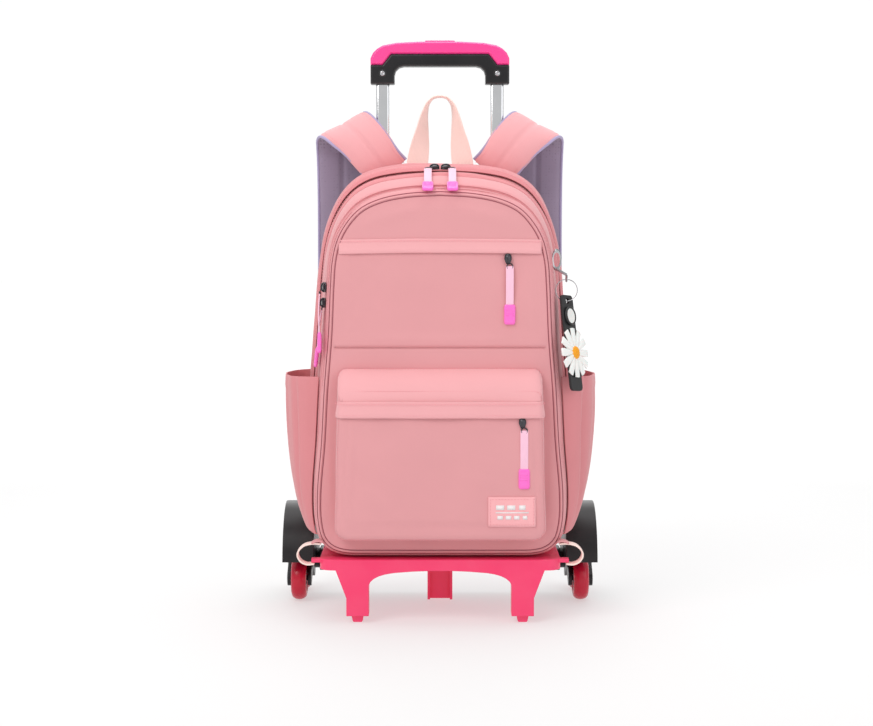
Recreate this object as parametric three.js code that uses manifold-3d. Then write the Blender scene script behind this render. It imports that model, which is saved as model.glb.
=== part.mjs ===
// A wheeled school backpack: a padded bag on a trolley with a pull-out handle, two front feet and a set of
// three small wheels on each side, which lets it roll up stairs.
// Millimetres. X runs across the bag, its front faces -Y, and +Z is up from the ground at z = 0.
import * as THREE from "three";
import { mergeVertices } from "three/addons/utils/BufferGeometryUtils.js";
import Module from "manifold-3d";

const wasm = await Module();
wasm.setup();

// Fits between pieces
const gap = 0.3;

// Bag body
const bagHalfWidth = 150;
const bagHeight = 436;
const bagBottom = 71;
const bagTop = bagBottom + bagHeight;
const frontFace = -62;
const compartmentSplit = -20;
const backFace = 80;
const bagWall = 2.4;
const frontEdgeRound = 7;
const backPanelThick = 8;
const backPanelInset = 4;
const outlineSteps = 22;

// Front pocket and the flaps over the zips
const pocketHalfWidth = 115;
const pocketBottom = 94;
const pocketHeight = 186;
const pocketDepth = 29;
const pocketSlope = 34;
const pocketCorner = 17;
const pocketTaper = 4;
const pocketFlapBend = 14;
const flapThick = 1.6;
const pocketFlapHigh = 246;
const pocketFlapHeight = 17;
const upperFlapBelow = 86;
const upperFlapHigh = bagTop - upperFlapBelow;
const upperFlapHeight = 15;
const labelWidth = 52;
const labelHeight = 33;
const labelThick = 1.2;
const labelInset = 11;
const labelBottom = 110;
const labelLeft = pocketHalfWidth - labelInset - labelWidth;

// Side pockets
const bottlePocketMouth = 270;
const bottlePocketFoot = 96;
const bottlePocketBulge = 29;
const bottlePocketFront = -46;
const bottlePocketBack = 74;
const bottlePocketWall = 1.8;
const bottlePocketSeat = 0.9;

// Zips, sliders and pulls
const zipTape = 12;
const zipThick = 1.2;
const zipSeat = 0.6;
const mainZipDepth = -4;
const frontZipDepth = -50.5;
const frontZipTape = 7;
const zipEnd = 150;
const sliderLong = 11;
const sliderWide = 8;
const sliderThick = 4.5;
const pullLong = 66;
const pullTip = 22;
const pullWide = 9;
const pullTipWide = 12.5;
const pullThick = 1.6;
const pullTipThick = 4.4;
const topPullLift = 5;
const upperSliderX = 74;
const pocketSliderX = 89;
const topSliderApart = 6.3;
const sideSlidersAbove = [99, 82];
const sidePullApart = 4;
const sidePullSpread = 7;
const sidePullLift = [5.6, 3.4];

// Carry loop and shoulder straps
const carryWidth = 25;
const carryThick = 1.8;
const carryRise = 80;
const carrySpread = 26.5;
const carryInset = 12;
const strapWidth = 61;
const strapThick = 10;
const strapRise = 58;
const strapCrest = bagTop + strapRise;
const strapEnd = 192;
const strapReach = 58;
const strapSeat = 1.4;
const webbingWidth = 25;
const webbingThick = 1.8;
const webbingCornerInset = 28;
const webbingCornerZ = 100;
const adjusterWidth = 36;
const adjusterHeight = 22;
const adjusterThick = 6;

// Trolley base, with its feet
const baseInset = 17;
const baseHalfWidth = bagHalfWidth - baseInset;
const baseFront = -72;
const baseBack = 114;
const baseTop = 70.4;
const basePlate = 5;
const baseWall = 3;
const baseCorner = 16;
const blockInset = 13;
const blockDepth = 24;
const lipHeight = 12;
const footSpread = 91;
const footWidth = 24.6;
const footBottom = 7.5;
const footDepth = 26;
const footFlare = 24;
const footStraight = 20;
const archDrop = 3;
const archLeg = 14;
const archEase = 3;
const archReach = 27;
const archCrown = 2;
const nubWidth = 9;
const nubLong = 8;
const nubBack = 10;
const rearFootWidth = 29;
const rearFootFront = 48;
const rearFootDepth = 26;
const rearFootBottom = 2.5;
const channelDepth = 8;
const socketWall = 3;
const socketTop = 92;
const beamProud = 9;
const beamHalfWidth = baseHalfWidth + beamProud;
const earFront = -64;
const earWidth = 10;
const earDrop = 0.4;
const earThick = 4;

// Wheel sets
const axleBack = 96;
const wheelRadius = 25;
const armLength = 37;
const wheelWidth = 18;
const wheelSteps = 14;
const wheelPlay = 1;
const bossLong = 6.3;
const starPlate = 4;
const starLobe = 9;
const hubRadius = 9;
const axleRadius = 4;
const capRadius = 7;
const capThick = 2;
const pinRadius = 3;
const axleHeight = wheelRadius + armLength / 2;
const beamHeight = 26;
const beamDepth = 32;
const guardClear = 3;
const guardThick = 3;
const cheekThick = 3;
const guardFrom = 5;
const guardBoss = 12;
const guardLip = 1.8;
const cheekPlay = 1.6;
const guardSteps = 16;

// Handle
const tubeSpread = 66.8;
const tubeBack = 102.5;
const innerTubeWidth = 15.7;
const innerTubeDepth = 12;
const innerTubeWall = 1.4;
const outerTubeWall = 1.6;
const bracketBelow = 37;
const outerTubeTop = bagTop - bracketBelow;
const outerTubeBottom = 60;
const innerTubeBottom = 155;
const gripAbove = 95;
const gripBottom = bagTop + gripAbove;
const gripHeight = 49;
const gripTop = gripBottom + gripHeight;
const gripSocket = 18;
const gripHalfWidth = 81;
const gripLeg = 28;
const gripDepth = 22;
const coverThick = 14.6;
const gripBar = 13.8;
const coverSeam = gripTop - coverThick;
const gripBarUnder = coverSeam - gripBar;
const coverDrop = 12.5;
const coverChamfer = 13;
const buttonWidth = 35;
const buttonDepth = 15;
const buttonProud = 1.6;
const buttonTravel = 3;
const bracketHeight = 26;
const sleeveLow = 125;
const sleeveBelow = 82;
const sleeveHigh = bagTop - sleeveBelow;
const sleeveWall = 2;

// Things on the key ring
const clipBack = -44;
const clipBelow = 98;
const clipTop = bagTop - clipBelow;
const clipLong = 20;
const clipWide = 9;
const clipWire = 1.1;
const clipSwing = 11;
const eyeRadius = 3.6;
const splitRing = 12;
const ringWire = 0.9;
const tagLong = 100;
const tagWide = 24;
const tagThick = 3;
const tagHole = 3.6;
const tagTurn = 55;
const tagTilt = 10;
const tagLean = 6;
const flowerRadius = 28;
const flowerThick = 3;
const flowerDrop = 58;
const petals = 12;
const badgeRadius = 10;
const badgeThick = 2.4;
const badgeDrop = 17;

// Corner loops
const cornerLoopWidth = 16;
const cornerLoopThick = 1.8;
const cornerLoopTop = 87;
const cornerLoopOut = 26;

const colours = {
  cloth: 0xeca6aa,
  clothLight: 0xf9b4bc,
  clothSide: 0xdf8f96,
  mesh: 0x87788c,
  webbing: 0xf8dcd4,
  hotPink: 0xf73978,
  wheelPink: 0xd0194b,
  gripPink: 0xff58a0,
  black: 0x19191e,
  metal: 0xb9bcc2,
  gunmetal: 0x3a3a40,
  pull: 0xff7dd7,
  white: 0xf6f6f4,
};

// Outline of the bag from the front. up is a share of its height, body and face are shares of its half width,
// for the main body and for the flatter front panel.
const outlineRows = [
  { up: 0.0, body: 0.0, face: 0.0 },
  { up: 0.0, body: 0.7, face: 0.72 },
  { up: 0.012, body: 0.84, face: 0.87 },
  { up: 0.039, body: 0.918, face: 0.955 },
  { up: 0.09, body: 0.96, face: 0.995 },
  { up: 0.17, body: 0.99, face: 1.0 },
  { up: 0.31, body: 0.99, face: 0.965 },
  { up: 0.46, body: 0.973, face: 0.94 },
  { up: 0.61, body: 0.94, face: 0.905 },
  { up: 0.74, body: 0.905, face: 0.888 },
  { up: 0.81, body: 0.872, face: 0.872 },
  { up: 0.87, body: 0.818, face: 0.828 },
  { up: 0.92, body: 0.745, face: 0.742 },
  { up: 0.955, body: 0.655, face: 0.638 },
  { up: 0.98, body: 0.53, face: 0.48 },
  { up: 0.995, body: 0.31, face: 0.26 },
  { up: 1.0, body: 0.0, face: 0.0 },
];

// Sections of the bag from its front face to its back. back is a share of the body's depth, wide of its half
// width, top and low of its height. face says how much of the front panel's outline is used.
const sectionRows = [
  { back: 0.0, wide: 0.907, top: 0.924, low: 0.008, face: 1 },
  { back: 0.3, wide: 0.962, top: 0.966, low: 0.002, face: 0.5 },
  { back: 0.5, wide: 0.995, top: 0.991, low: 0, face: 0 },
  { back: 0.72, wide: 1, top: 1, low: 0, face: 0 },
  { back: 1, wide: 0.99, top: 0.995, low: 0, face: 0 },
];

// Side pocket from its mouth down. down is a share of its height, bulge of how far it stands out, rear of its
// length from front to back.
const sidePocketRows = [
  { down: 0, bulge: 1, rear: 1 },
  { down: 0.07, bulge: 0.99, rear: 1 },
  { down: 0.25, bulge: 0.92, rear: 1 },
  { down: 0.5, bulge: 0.72, rear: 1 },
  { down: 0.75, bulge: 0.45, rear: 0.98 },
  { down: 0.9, bulge: 0.2, rear: 0.9 },
  { down: 1, bulge: 0.02, rear: 0.72 },
];

// Fold lines of a side pocket from front to back. along is a share of its length, out of its bulge.
const sidePocketFolds = [
  { along: 0, out: 0 },
  { along: 0.06, out: 0.55 },
  { along: 0.15, out: 0.9 },
  { along: 0.28, out: 1 },
  { along: 0.45, out: 0.95 },
  { along: 0.6, out: 1 },
  { along: 0.75, out: 0.9 },
  { along: 0.87, out: 0.72 },
  { along: 0.95, out: 0.4 },
  { along: 1, out: 0 },
];

// Middle line of a shoulder strap. out is a share of the bag's half width, back of the strap's reach behind
// the bag, up of its height from pad end to crest, wide of its width, and lean is the tilt of its width in degrees.
const strapRows = [
  { out: 0.41, back: 0.115, up: 0.81, lean: 17, wide: 0.8 },
  { out: 0.495, back: 0.01, up: 0.885, lean: 23, wide: 0.82 },
  { out: 0.6, back: 0, up: 0.946, lean: 25, wide: 0.88 },
  { out: 0.697, back: 0.086, up: 0.988, lean: 23, wide: 1 },
  { out: 0.747, back: 0.276, up: 1.0, lean: 23, wide: 1 },
  { out: 0.775, back: 0.51, up: 0.976, lean: 22, wide: 1 },
  { out: 0.777, back: 0.76, up: 0.941, lean: 14, wide: 1 },
  { out: 0.773, back: 0.914, up: 0.866, lean: 4, wide: 1 },
  { out: 0.77, back: 0.98, up: 0.76, lean: 0, wide: 1 },
  { out: 0.77, back: 1, up: 0.64, lean: 0, wide: 1 },
  { out: 0.77, back: 0.93, up: 0.48, lean: 0, wide: 1 },
  { out: 0.77, back: 0.82, up: 0.316, lean: 0, wide: 1 },
  { out: 0.77, back: 0.66, up: 0.155, lean: 0, wide: 0.97 },
  { out: 0.77, back: 0.5, up: 0, lean: 0, wide: 0.8 },
];

// Half of the arch of the carry loop. side is a share of the legs' spread, up of the rise, turn in degrees.
const carryRows = [
  { side: 1, up: 0, turn: 0 },
  { side: 0.88, up: 0.27, turn: 28 },
  { side: 0.77, up: 0.52, turn: 55 },
  { side: 0.66, up: 0.76, turn: 74 },
  { side: 0.5, up: 0.91, turn: 84 },
  { side: 0.27, up: 0.985, turn: 88 },
  { side: 0, up: 1, turn: 90 },
];

const point = (x, y, z) => new THREE.Vector3(x, y, z);
const radians = THREE.MathUtils.degToRad;

// Value of one column of a table at a place between its rows.
function readTable(rows, key, column, at) {
  const last = rows.length - 1;
  if (at <= rows[0][key]) return rows[0][column];
  for (let i = 0; i < last; i += 1) {
    const low = rows[i];
    const high = rows[i + 1];
    if (at <= high[key]) {
      const share = (at - low[key]) / (high[key] - low[key]);
      return low[column] + (high[column] - low[column]) * share;
    }
  }
  return rows[last][column];
}

// Closed geometry from vertices and faces, turned so that its faces point out.
function closedGeometry(vertices, faces) {
  let volume = 0;
  for (let i = 0; i < faces.length; i += 3) {
    const [a, b, c] = [vertices[faces[i]], vertices[faces[i + 1]], vertices[faces[i + 2]]];
    volume += a.dot(b.clone().cross(c));
  }
  const order = volume > 0 ? faces : faces.slice().reverse();
  const geometry = new THREE.BufferGeometry();
  const flat = vertices.flatMap((p) => [p.x, p.y, p.z]);
  geometry.setAttribute("position", new THREE.Float32BufferAttribute(flat, 3));
  geometry.setIndex(order);
  return geometry;
}

// Faces that fill a ring, turned with the ring's own direction or against it.
function fillRing(ring, first, along) {
  const normal = point(0, 0, 0);
  ring.forEach((p, i) => normal.add(p.clone().cross(ring[(i + 1) % ring.length])));
  normal.normalize();
  const side = Math.abs(normal.z) < 0.9 ? point(0, 0, 1) : point(1, 0, 0);
  const across = side.cross(normal).normalize();
  const upward = normal.clone().cross(across);
  const flat = ring.map((p) => new THREE.Vector2(p.dot(across), p.dot(upward)));
  const faces = [];
  for (const [a, b, c] of THREE.ShapeUtils.triangulateShape(flat, [])) {
    const turned = flat[b].clone().sub(flat[a]).cross(flat[c].clone().sub(flat[a])) > 0;
    if (turned === along) faces.push(first + a, first + b, first + c);
    else faces.push(first + a, first + c, first + b);
  }
  return faces;
}

// A body through a row of rings with the same number of points. Its ends are filled, unless it runs round.
function loft(rings, round = false) {
  const count = rings[0].length;
  const faces = [];
  const spans = round ? rings.length : rings.length - 1;
  for (let i = 0; i < spans; i += 1) {
    const here = i * count;
    const next = ((i + 1) % rings.length) * count;
    for (let j = 0; j < count; j += 1) {
      const k = (j + 1) % count;
      faces.push(here + j, here + k, next + k, here + j, next + k, next + j);
    }
  }
  if (!round) {
    faces.push(...fillRing(rings[0], 0, false));
    faces.push(...fillRing(rings[rings.length - 1], (rings.length - 1) * count, true));
  }
  return closedGeometry(rings.flat(), faces);
}

// A flat band along stations of { middle, side, wide, thick }, where side is the direction of its width.
function band(stations) {
  const rings = stations.map((here, i) => {
    const before = stations[Math.max(i - 1, 0)].middle;
    const after = stations[Math.min(i + 1, stations.length - 1)].middle;
    const along = after.clone().sub(before).normalize();
    const side = here.side.clone().normalize();
    const up = along.clone().cross(side).normalize();
    const half = here.wide / 2;
    const round = Math.min(here.thick / 2, half / 2);
    const corners = [
      [half - round, here.thick / 2],
      [half, 0],
      [half - round, -here.thick / 2],
      [round - half, -here.thick / 2],
      [-half, 0],
      [round - half, here.thick / 2],
    ];
    return corners.map(([a, b]) => here.middle.clone().addScaledVector(side, a).addScaledVector(up, b));
  });
  return loft(rings);
}

function toSolid(geometry) {
  const bare = new THREE.BufferGeometry();
  bare.setAttribute("position", geometry.getAttribute("position"));
  bare.setIndex(geometry.getIndex());
  const merged = mergeVertices(bare, 1e-4);
  return new wasm.Manifold(new wasm.Mesh({
    numProp: 3,
    vertProperties: new Float32Array(merged.getAttribute("position").array),
    triVerts: new Uint32Array(merged.getIndex().array),
  }));
}

function toGeometry(solid) {
  const mesh = solid.getMesh();
  const geometry = new THREE.BufferGeometry();
  geometry.setAttribute("position", new THREE.BufferAttribute(mesh.vertProperties, 3));
  geometry.setIndex(new THREE.BufferAttribute(mesh.triVerts, 1));
  return geometry;
}

const join = (...parts) => toGeometry(parts.map(toSolid).reduce((all, next) => all.add(next)));
const cut = (body, ...tools) => toGeometry(tools.map(toSolid).reduce((all, next) => all.subtract(next), toSolid(body)));

const root = new THREE.Group();

function addPiece(name, geometry, colour, roughness = 0.8, metalness = 0) {
  const material = new THREE.MeshStandardMaterial({ color: colour, roughness, metalness });
  const mesh = new THREE.Mesh(geometry, material);
  mesh.name = name;
  root.add(mesh);
  return mesh;
}

// Names and signs of the two sides, as seen from the front.
const sides = [
  { name: "left", sign: -1 },
  { name: "right", sign: 1 },
];

function box(x0, x1, y0, y1, z0, z1) {
  const geometry = new THREE.BoxGeometry(x1 - x0, y1 - y0, z1 - z0);
  return geometry.translate((x0 + x1) / 2, (y0 + y1) / 2, (z0 + z1) / 2);
}

function roundedRect(x0, x1, y0, y1, r) {
  const shape = new THREE.Shape();
  shape.moveTo(x0 + r, y0);
  shape.lineTo(x1 - r, y0);
  shape.absarc(x1 - r, y0 + r, r, -Math.PI / 2, 0);
  shape.lineTo(x1, y1 - r);
  shape.absarc(x1 - r, y1 - r, r, 0, Math.PI / 2);
  shape.lineTo(x0 + r, y1);
  shape.absarc(x0 + r, y1 - r, r, Math.PI / 2, Math.PI);
  shape.lineTo(x0, y0 + r);
  shape.absarc(x0 + r, y0 + r, r, Math.PI, 1.5 * Math.PI);
  return shape;
}

function polygon(points) {
  return new THREE.Shape(points.map(([x, y]) => new THREE.Vector2(x, y)));
}

// Extrusions of a flat shape. curve is the number of steps in each arc, bevel rounds both edges.
function extrude(shape, low, high, bevel = 0, curve = 4) {
  const depth = high - low - 2 * bevel;
  const geometry = new THREE.ExtrudeGeometry(shape, {
    depth,
    curveSegments: curve,
    bevelEnabled: bevel > 0,
    bevelSize: bevel,
    bevelThickness: bevel,
    bevelOffset: -bevel,
    bevelSegments: 1,
  });
  return geometry.translate(0, 0, low + bevel);
}

// The shape's two directions become X and Z, and it runs from front to back.
function extrudeBack(shape, front, back, bevel = 0, curve = 4) {
  return extrude(shape, -back, -front, bevel, curve).rotateX(Math.PI / 2);
}

// The shape's two directions become Y and Z, and it runs across.
function extrudeAcross(shape, from, to, bevel = 0, curve = 4) {
  const turn = new THREE.Matrix4().makeBasis(point(0, 1, 0), point(0, 0, 1), point(1, 0, 0));
  return extrude(shape, from, to, bevel, curve).applyMatrix4(turn);
}

// A round rod across the bag.
function rodAcross(radius, from, to, y, z, steps = 16) {
  const geometry = new THREE.CylinderGeometry(radius, radius, to - from, steps);
  return geometry.rotateZ(Math.PI / 2).translate((from + to) / 2, y, z);
}

// Size of the bag's section at a depth y.
function sectionAt(y) {
  const share = (y - frontFace) / (backFace - frontFace);
  return {
    half: readTable(sectionRows, "back", "wide", share) * bagHalfWidth,
    top: bagBottom + readTable(sectionRows, "back", "top", share) * bagHeight,
    low: bagBottom + readTable(sectionRows, "back", "low", share) * bagHeight,
    face: readTable(sectionRows, "back", "face", share),
  };
}

// The bag's outline at a depth y, as points round from the middle of its bottom edge, moved in by inset.
function bagOutline(y, inset = 0) {
  const size = sectionAt(y);
  const half = outlineRows.map((row) => {
    const share = row.body + (row.face - row.body) * size.face;
    return point(share * size.half, 0, size.low + row.up * (size.top - size.low));
  });
  const curve = new THREE.CatmullRomCurve3(half, false, "centripetal");
  const right = curve.getSpacedPoints(outlineSteps);
  right.forEach((p) => { p.z = Math.max(p.z, size.low); });
  const left = right.slice(1, -1).reverse().map((p) => point(-p.x, 0, p.z));
  const ring = [...right, ...left];
  return ring.map((p, i) => {
    const before = ring[(i + ring.length - 1) % ring.length];
    const after = ring[(i + 1) % ring.length];
    const along = after.clone().sub(before).normalize();
    return point(p.x - along.z * inset, y, p.z + along.x * inset);
  });
}

// Half of the bag's width at a depth y and a height z.
function halfWidthAt(y, z) {
  const right = bagOutline(y).slice(1, outlineSteps + 1);
  const above = right.findIndex((p) => p.z >= z);
  if (above < 1) return right[0].x;
  const low = right[above - 1];
  const high = right[above];
  return low.x + (high.x - low.x) * ((z - low.z) / (high.z - low.z));
}

// Height of the bag's top at a depth y and a distance x from its middle.
function topAt(y, x, inset = 0) {
  const right = bagOutline(y, inset).slice(0, outlineSteps + 1).reverse();
  const outside = Math.max(right.findIndex((p) => p.x >= Math.abs(x)), 1);
  const low = right[outside];
  const high = right[outside - 1];
  return high.z + (low.z - high.z) * ((Math.abs(x) - high.x) / (low.x - high.x));
}

// Main compartment: a tub that is open at the back
function mainCompartment() {
  const depths = [0, 0.28, 0.42, 0.6, 0.8, 1].map((share) => THREE.MathUtils.lerp(compartmentSplit, backFace, share));
  const outer = depths.map((y) => bagOutline(y));
  const inner = [backFace, backFace / 2, compartmentSplit + bagWall].map((y) => bagOutline(y, bagWall));
  return loft([...outer, ...inner]);
}

// Front compartment: the same, in front of it, with rounded edges round its face
function frontCompartment() {
  const rim = compartmentSplit - gap;
  const outer = [
    bagOutline(frontFace, frontEdgeRound * 0.75),
    bagOutline(frontFace + frontEdgeRound * 0.25, frontEdgeRound * 0.25),
    bagOutline(frontFace + frontEdgeRound * 0.85, 0),
    bagOutline((frontFace + rim) / 2, 0),
    bagOutline(rim, 0),
  ];
  const inner = [
    bagOutline(rim, bagWall),
    bagOutline(frontFace + frontEdgeRound, bagWall),
    bagOutline(frontFace + bagWall, bagWall + frontEdgeRound * 0.5),
  ];
  return loft([...outer, ...inner]);
}

function backPanel() {
  const near = backFace + gap;
  const rings = [
    { out: 0, inset: backPanelInset },
    { out: 0.6, inset: backPanelInset },
    { out: 0.9, inset: backPanelInset + 2 },
    { out: 1, inset: backPanelInset + 5 },
  ];
  return loft(rings.map(({ out, inset }) => {
    return bagOutline(backFace, inset).map((p) => point(p.x, near + out * backPanelThick, p.z));
  }));
}

// Zip on the bag's side and top, from one side at height low round to the other.
function zipStrip(middle, wide, low) {
  const front = middle - wide / 2;
  const back = middle + wide / 2;
  const corners = [
    bagOutline(front, -zipSeat),
    bagOutline(back, -zipSeat),
    bagOutline(back, -zipSeat - zipThick),
    bagOutline(front, -zipSeat - zipThick),
  ];
  const steps = corners[0].map((p, i) => i).filter((i) => i > 0 && corners[0][i].z > low);
  return loft(steps.map((i) => corners.map((ring) => ring[i])));
}

// Rounded outline of the front pocket, moved in by inset and with its top lowered by drop.
function pocketOutline(y, drop, inset) {
  const low = pocketBottom + inset;
  const high = pocketBottom + pocketHeight - drop;
  const lowHalf = pocketHalfWidth - inset;
  const highHalf = lowHalf - pocketTaper;
  const r = Math.max(pocketCorner - inset, 3);
  const corners = [
    { x: lowHalf - r, z: low + r, from: -90 },
    { x: highHalf - r, z: high - r, from: 0 },
    { x: r - highHalf, z: high - r, from: 90 },
    { x: r - lowHalf, z: low + r, from: 180 },
  ];
  return corners.flatMap(({ x, z, from }) => [0, 22.5, 45, 67.5, 90].map((turn) => {
    const angle = radians(from + turn);
    return point(x + r * Math.cos(angle), y, z + r * Math.sin(angle));
  }));
}

// Sections of the front pocket. out is a share of its depth, drop of the slope of its top, inset in mm.
const pocketRows = [
  { out: 0, drop: 0, inset: 0 },
  { out: 0.4, drop: 0.1, inset: 0 },
  { out: 0.78, drop: 0.42, inset: 0.3 },
  { out: 0.93, drop: 0.72, inset: 2 },
  { out: 1, drop: 1, inset: 6 },
];
const pocketSeat = frontFace - gap;
const pocketFront = pocketSeat - pocketDepth;

function frontPocket() {
  const outer = pocketRows.map(({ out, drop, inset }) => {
    return pocketOutline(pocketSeat - out * pocketDepth, drop * pocketSlope, inset);
  });
  const inner = pocketRows.map(({ out, drop, inset }) => {
    const y = pocketSeat - out * (pocketDepth - bagWall);
    return pocketOutline(y, drop * pocketSlope + bagWall, inset + bagWall);
  });
  return loft([...outer.reverse(), ...inner]);
}

// Flap over the pocket's zip, round its front from side to side.
function pocketFlap() {
  const away = gap + flapThick / 2;
  const middle = pocketFlapHigh - pocketFlapHeight / 2;
  const upShare = (middle - pocketBottom) / pocketHeight;
  const line = pocketRows.slice(1).map(({ out, inset }) => {
    const half = pocketHalfWidth - inset - pocketTaper * upShare;
    return { x: half + away + gap, y: pocketSeat - out * pocketDepth - away - gap };
  });
  const right = [...line, { x: pocketHalfWidth - pocketFlapBend, y: pocketFront - away }];
  const path = [...right.map(({ x, y }) => ({ x: -x, y })), ...right.reverse()];
  return band(path.map(({ x, y }) => {
    return { middle: point(x, y, middle), side: point(0, 0, 1), wide: pocketFlapHeight, thick: flapThick };
  }));
}

function upperFlap() {
  const middle = upperFlapHigh - upperFlapHeight / 2;
  const half = halfWidthAt(frontFace, upperFlapHigh) - frontEdgeRound;
  const y = frontFace - gap - flapThick / 2;
  return band([-1, -0.5, 0, 0.5, 1].map((share) => {
    return { middle: point(share * half, y, middle), side: point(0, 0, 1), wide: upperFlapHeight, thick: flapThick };
  }));
}

function sidePocket(sign) {
  const length = bottlePocketBack - bottlePocketFront;
  const rings = sidePocketRows.map(({ down, bulge, rear }) => {
    const z = THREE.MathUtils.lerp(bottlePocketMouth, bottlePocketFoot, down);
    const path = sidePocketFolds.map(({ along, out }) => {
      const y = bottlePocketFront + along * rear * length;
      const seat = halfWidthAt(y, z) + bottlePocketSeat;
      return { y, near: seat + out * bulge * bottlePocketBulge };
    });
    const outer = path.map(({ y, near }) => point(sign * (near + bottlePocketWall), y, z));
    const inner = path.map(({ y, near }) => point(sign * near, y, z));
    return [...outer, ...inner.reverse()];
  });
  return loft(rings);
}

const bodyPieces = [
  { name: "main_compartment", shape: mainCompartment(), colour: colours.cloth },
  { name: "front_compartment", shape: frontCompartment(), colour: colours.cloth },
  { name: "back_panel", shape: backPanel(), colour: colours.mesh },
  { name: "front_pocket", shape: frontPocket(), colour: colours.cloth },
  { name: "pocket_placket", shape: pocketFlap(), colour: colours.clothLight },
  { name: "upper_placket", shape: upperFlap(), colour: colours.clothLight },
  { name: "main_zip", shape: zipStrip(mainZipDepth, zipTape, zipEnd), colour: colours.clothSide },
  { name: "front_zip", shape: zipStrip(frontZipDepth, frontZipTape, zipEnd), colour: colours.clothSide },
];
bodyPieces.forEach(({ name, shape, colour }) => addPiece(name, shape, colour));
sides.forEach(({ name, sign }) => addPiece(`side_pocket_${name}`, sidePocket(sign), colours.clothSide));

const labelShape = roundedRect(labelLeft, labelLeft + labelWidth, labelBottom, labelBottom + labelHeight, 1.5);
const labelBack = pocketFront - gap;
addPiece("label_patch", extrudeBack(labelShape, labelBack - labelThick, labelBack), colours.clothLight);

// Shoulder straps, from the top of the back panel over and down behind the bag
function strapStations(sign) {
  const height = strapCrest - strapEnd;
  const first = strapRows[0];
  const slope = Math.tan(radians(first.lean));
  const seats = [-0.5, -0.25, 0, 0.25, 0.5].map((share) => {
    const step = share * first.wide * strapWidth;
    return topAt(backFace, first.out * bagHalfWidth + step, backPanelInset) + step * slope;
  });
  const seat = Math.max(...seats) + strapSeat;
  return strapRows.map(({ out, back, up, lean, wide }, i) => {
    const z = i === 0 ? seat : strapEnd + up * height;
    return {
      middle: point(sign * out * bagHalfWidth, backFace + back * strapReach, z),
      side: point(sign * Math.cos(radians(lean)), 0, -Math.sin(radians(lean))),
      wide: wide * strapWidth,
      thick: strapThick,
    };
  });
}

// Webbing from the adjuster at the pad's end to the lower corner of the back panel. Each row is a share of the
// way down, of the way out to the corner, and of the way in to the back panel.
const webbingRows = [
  { down: 0, out: 0, back: 0 },
  { down: 0.28, out: 0.1, back: 0 },
  { down: 0.55, out: 0.4, back: 0.3 },
  { down: 0.8, out: 0.8, back: 0.72 },
  { down: 1, out: 1, back: 1 },
];

const padEnd = strapRows[strapRows.length - 1];
const padEndX = padEnd.out * bagHalfWidth;
const padEndY = backFace + padEnd.back * strapReach;
const panelBack = backFace + gap + backPanelThick;
const adjusterTop = strapEnd - strapSeat;

function webbing(sign) {
  const start = point(padEndX, padEndY + adjusterThick / 2 + gap + webbingThick / 2, adjusterTop);
  const end = point(bagHalfWidth - webbingCornerInset, panelBack + gap + webbingThick / 2, webbingCornerZ);
  return band(webbingRows.map(({ down, out, back }) => {
    const x = THREE.MathUtils.lerp(start.x, end.x, out);
    const y = THREE.MathUtils.lerp(start.y, end.y, back);
    const z = THREE.MathUtils.lerp(start.z, end.z, down);
    return { middle: point(sign * x, y, z), side: point(1, 0, 0), wide: webbingWidth, thick: webbingThick };
  }));
}

// Ladder adjuster: a plate with two slots, whose edges keep a bar between them
function adjuster(sign) {
  const x = sign * padEndX;
  const half = adjusterWidth / 2;
  const shape = roundedRect(x - half, x + half, adjusterTop - adjusterHeight, adjusterTop, 2);
  [0.3, 0.7].forEach((share) => {
    const z = adjusterTop - share * adjusterHeight;
    shape.holes.push(roundedRect(x - webbingWidth / 2, x + webbingWidth / 2, z - 2, z + 2, 1));
  });
  return extrudeBack(shape, padEndY - adjusterThick / 2, padEndY + adjusterThick / 2, 0, 2);
}

sides.forEach(({ name, sign }) => {
  addPiece(`strap_${name}`, band(strapStations(sign)), colours.clothLight);
  addPiece(`strap_webbing_${name}`, webbing(sign), colours.webbing);
  addPiece(`strap_adjuster_${name}`, adjuster(sign), colours.black, 0.4);
});

// Carry loop: webbing that faces the front at its feet and turns edge-on at its top
function carryLoop() {
  const y = backFace - carryInset;
  const foot = topAt(y, 0) + gap;
  const left = carryRows.map(({ side, up, turn }) => ({ x: -side * carrySpread, z: foot + up * carryRise, turn }));
  const right = left.slice(0, -1).reverse().map(({ x, z, turn }) => ({ x: -x, z, turn: 180 - turn }));
  return band([...left, ...right].map(({ x, z, turn }) => ({
    middle: point(x, y, z),
    side: point(Math.cos(radians(turn)), Math.sin(radians(turn)), 0),
    wide: carryWidth,
    thick: carryThick,
  })));
}
addPiece("carry_loop", carryLoop(), colours.webbing);

// Zip sliders and their pulls. Each slider lies on a surface, and its pull hangs or lies in one direction.
const pullRows = [
  { along: 0, wide: 0.75, tip: 0 },
  { along: 0.06, wide: 1, tip: 0 },
  { along: 0.65, wide: 1, tip: 0 },
  { along: 0.68, wide: 1, tip: 1 },
  { along: 0.95, wide: 1, tip: 1 },
  { along: 1, wide: 0.8, tip: 0.8 },
];

function addSlider(number, middle, along, out) {
  const across = along.clone().cross(out).normalize();
  const shape = roundedRect(-sliderWide / 2, sliderWide / 2, -sliderLong / 2, sliderLong / 2, 2);
  const body = extrude(shape, -sliderThick / 2, sliderThick / 2, 0.8, 1);
  const turn = new THREE.Matrix4().makeBasis(across, along, across.clone().cross(along)).setPosition(middle);
  addPiece(`zip_slider_${number}`, body.applyMatrix4(turn), colours.gunmetal, 0.35, 0.9);
}

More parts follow.
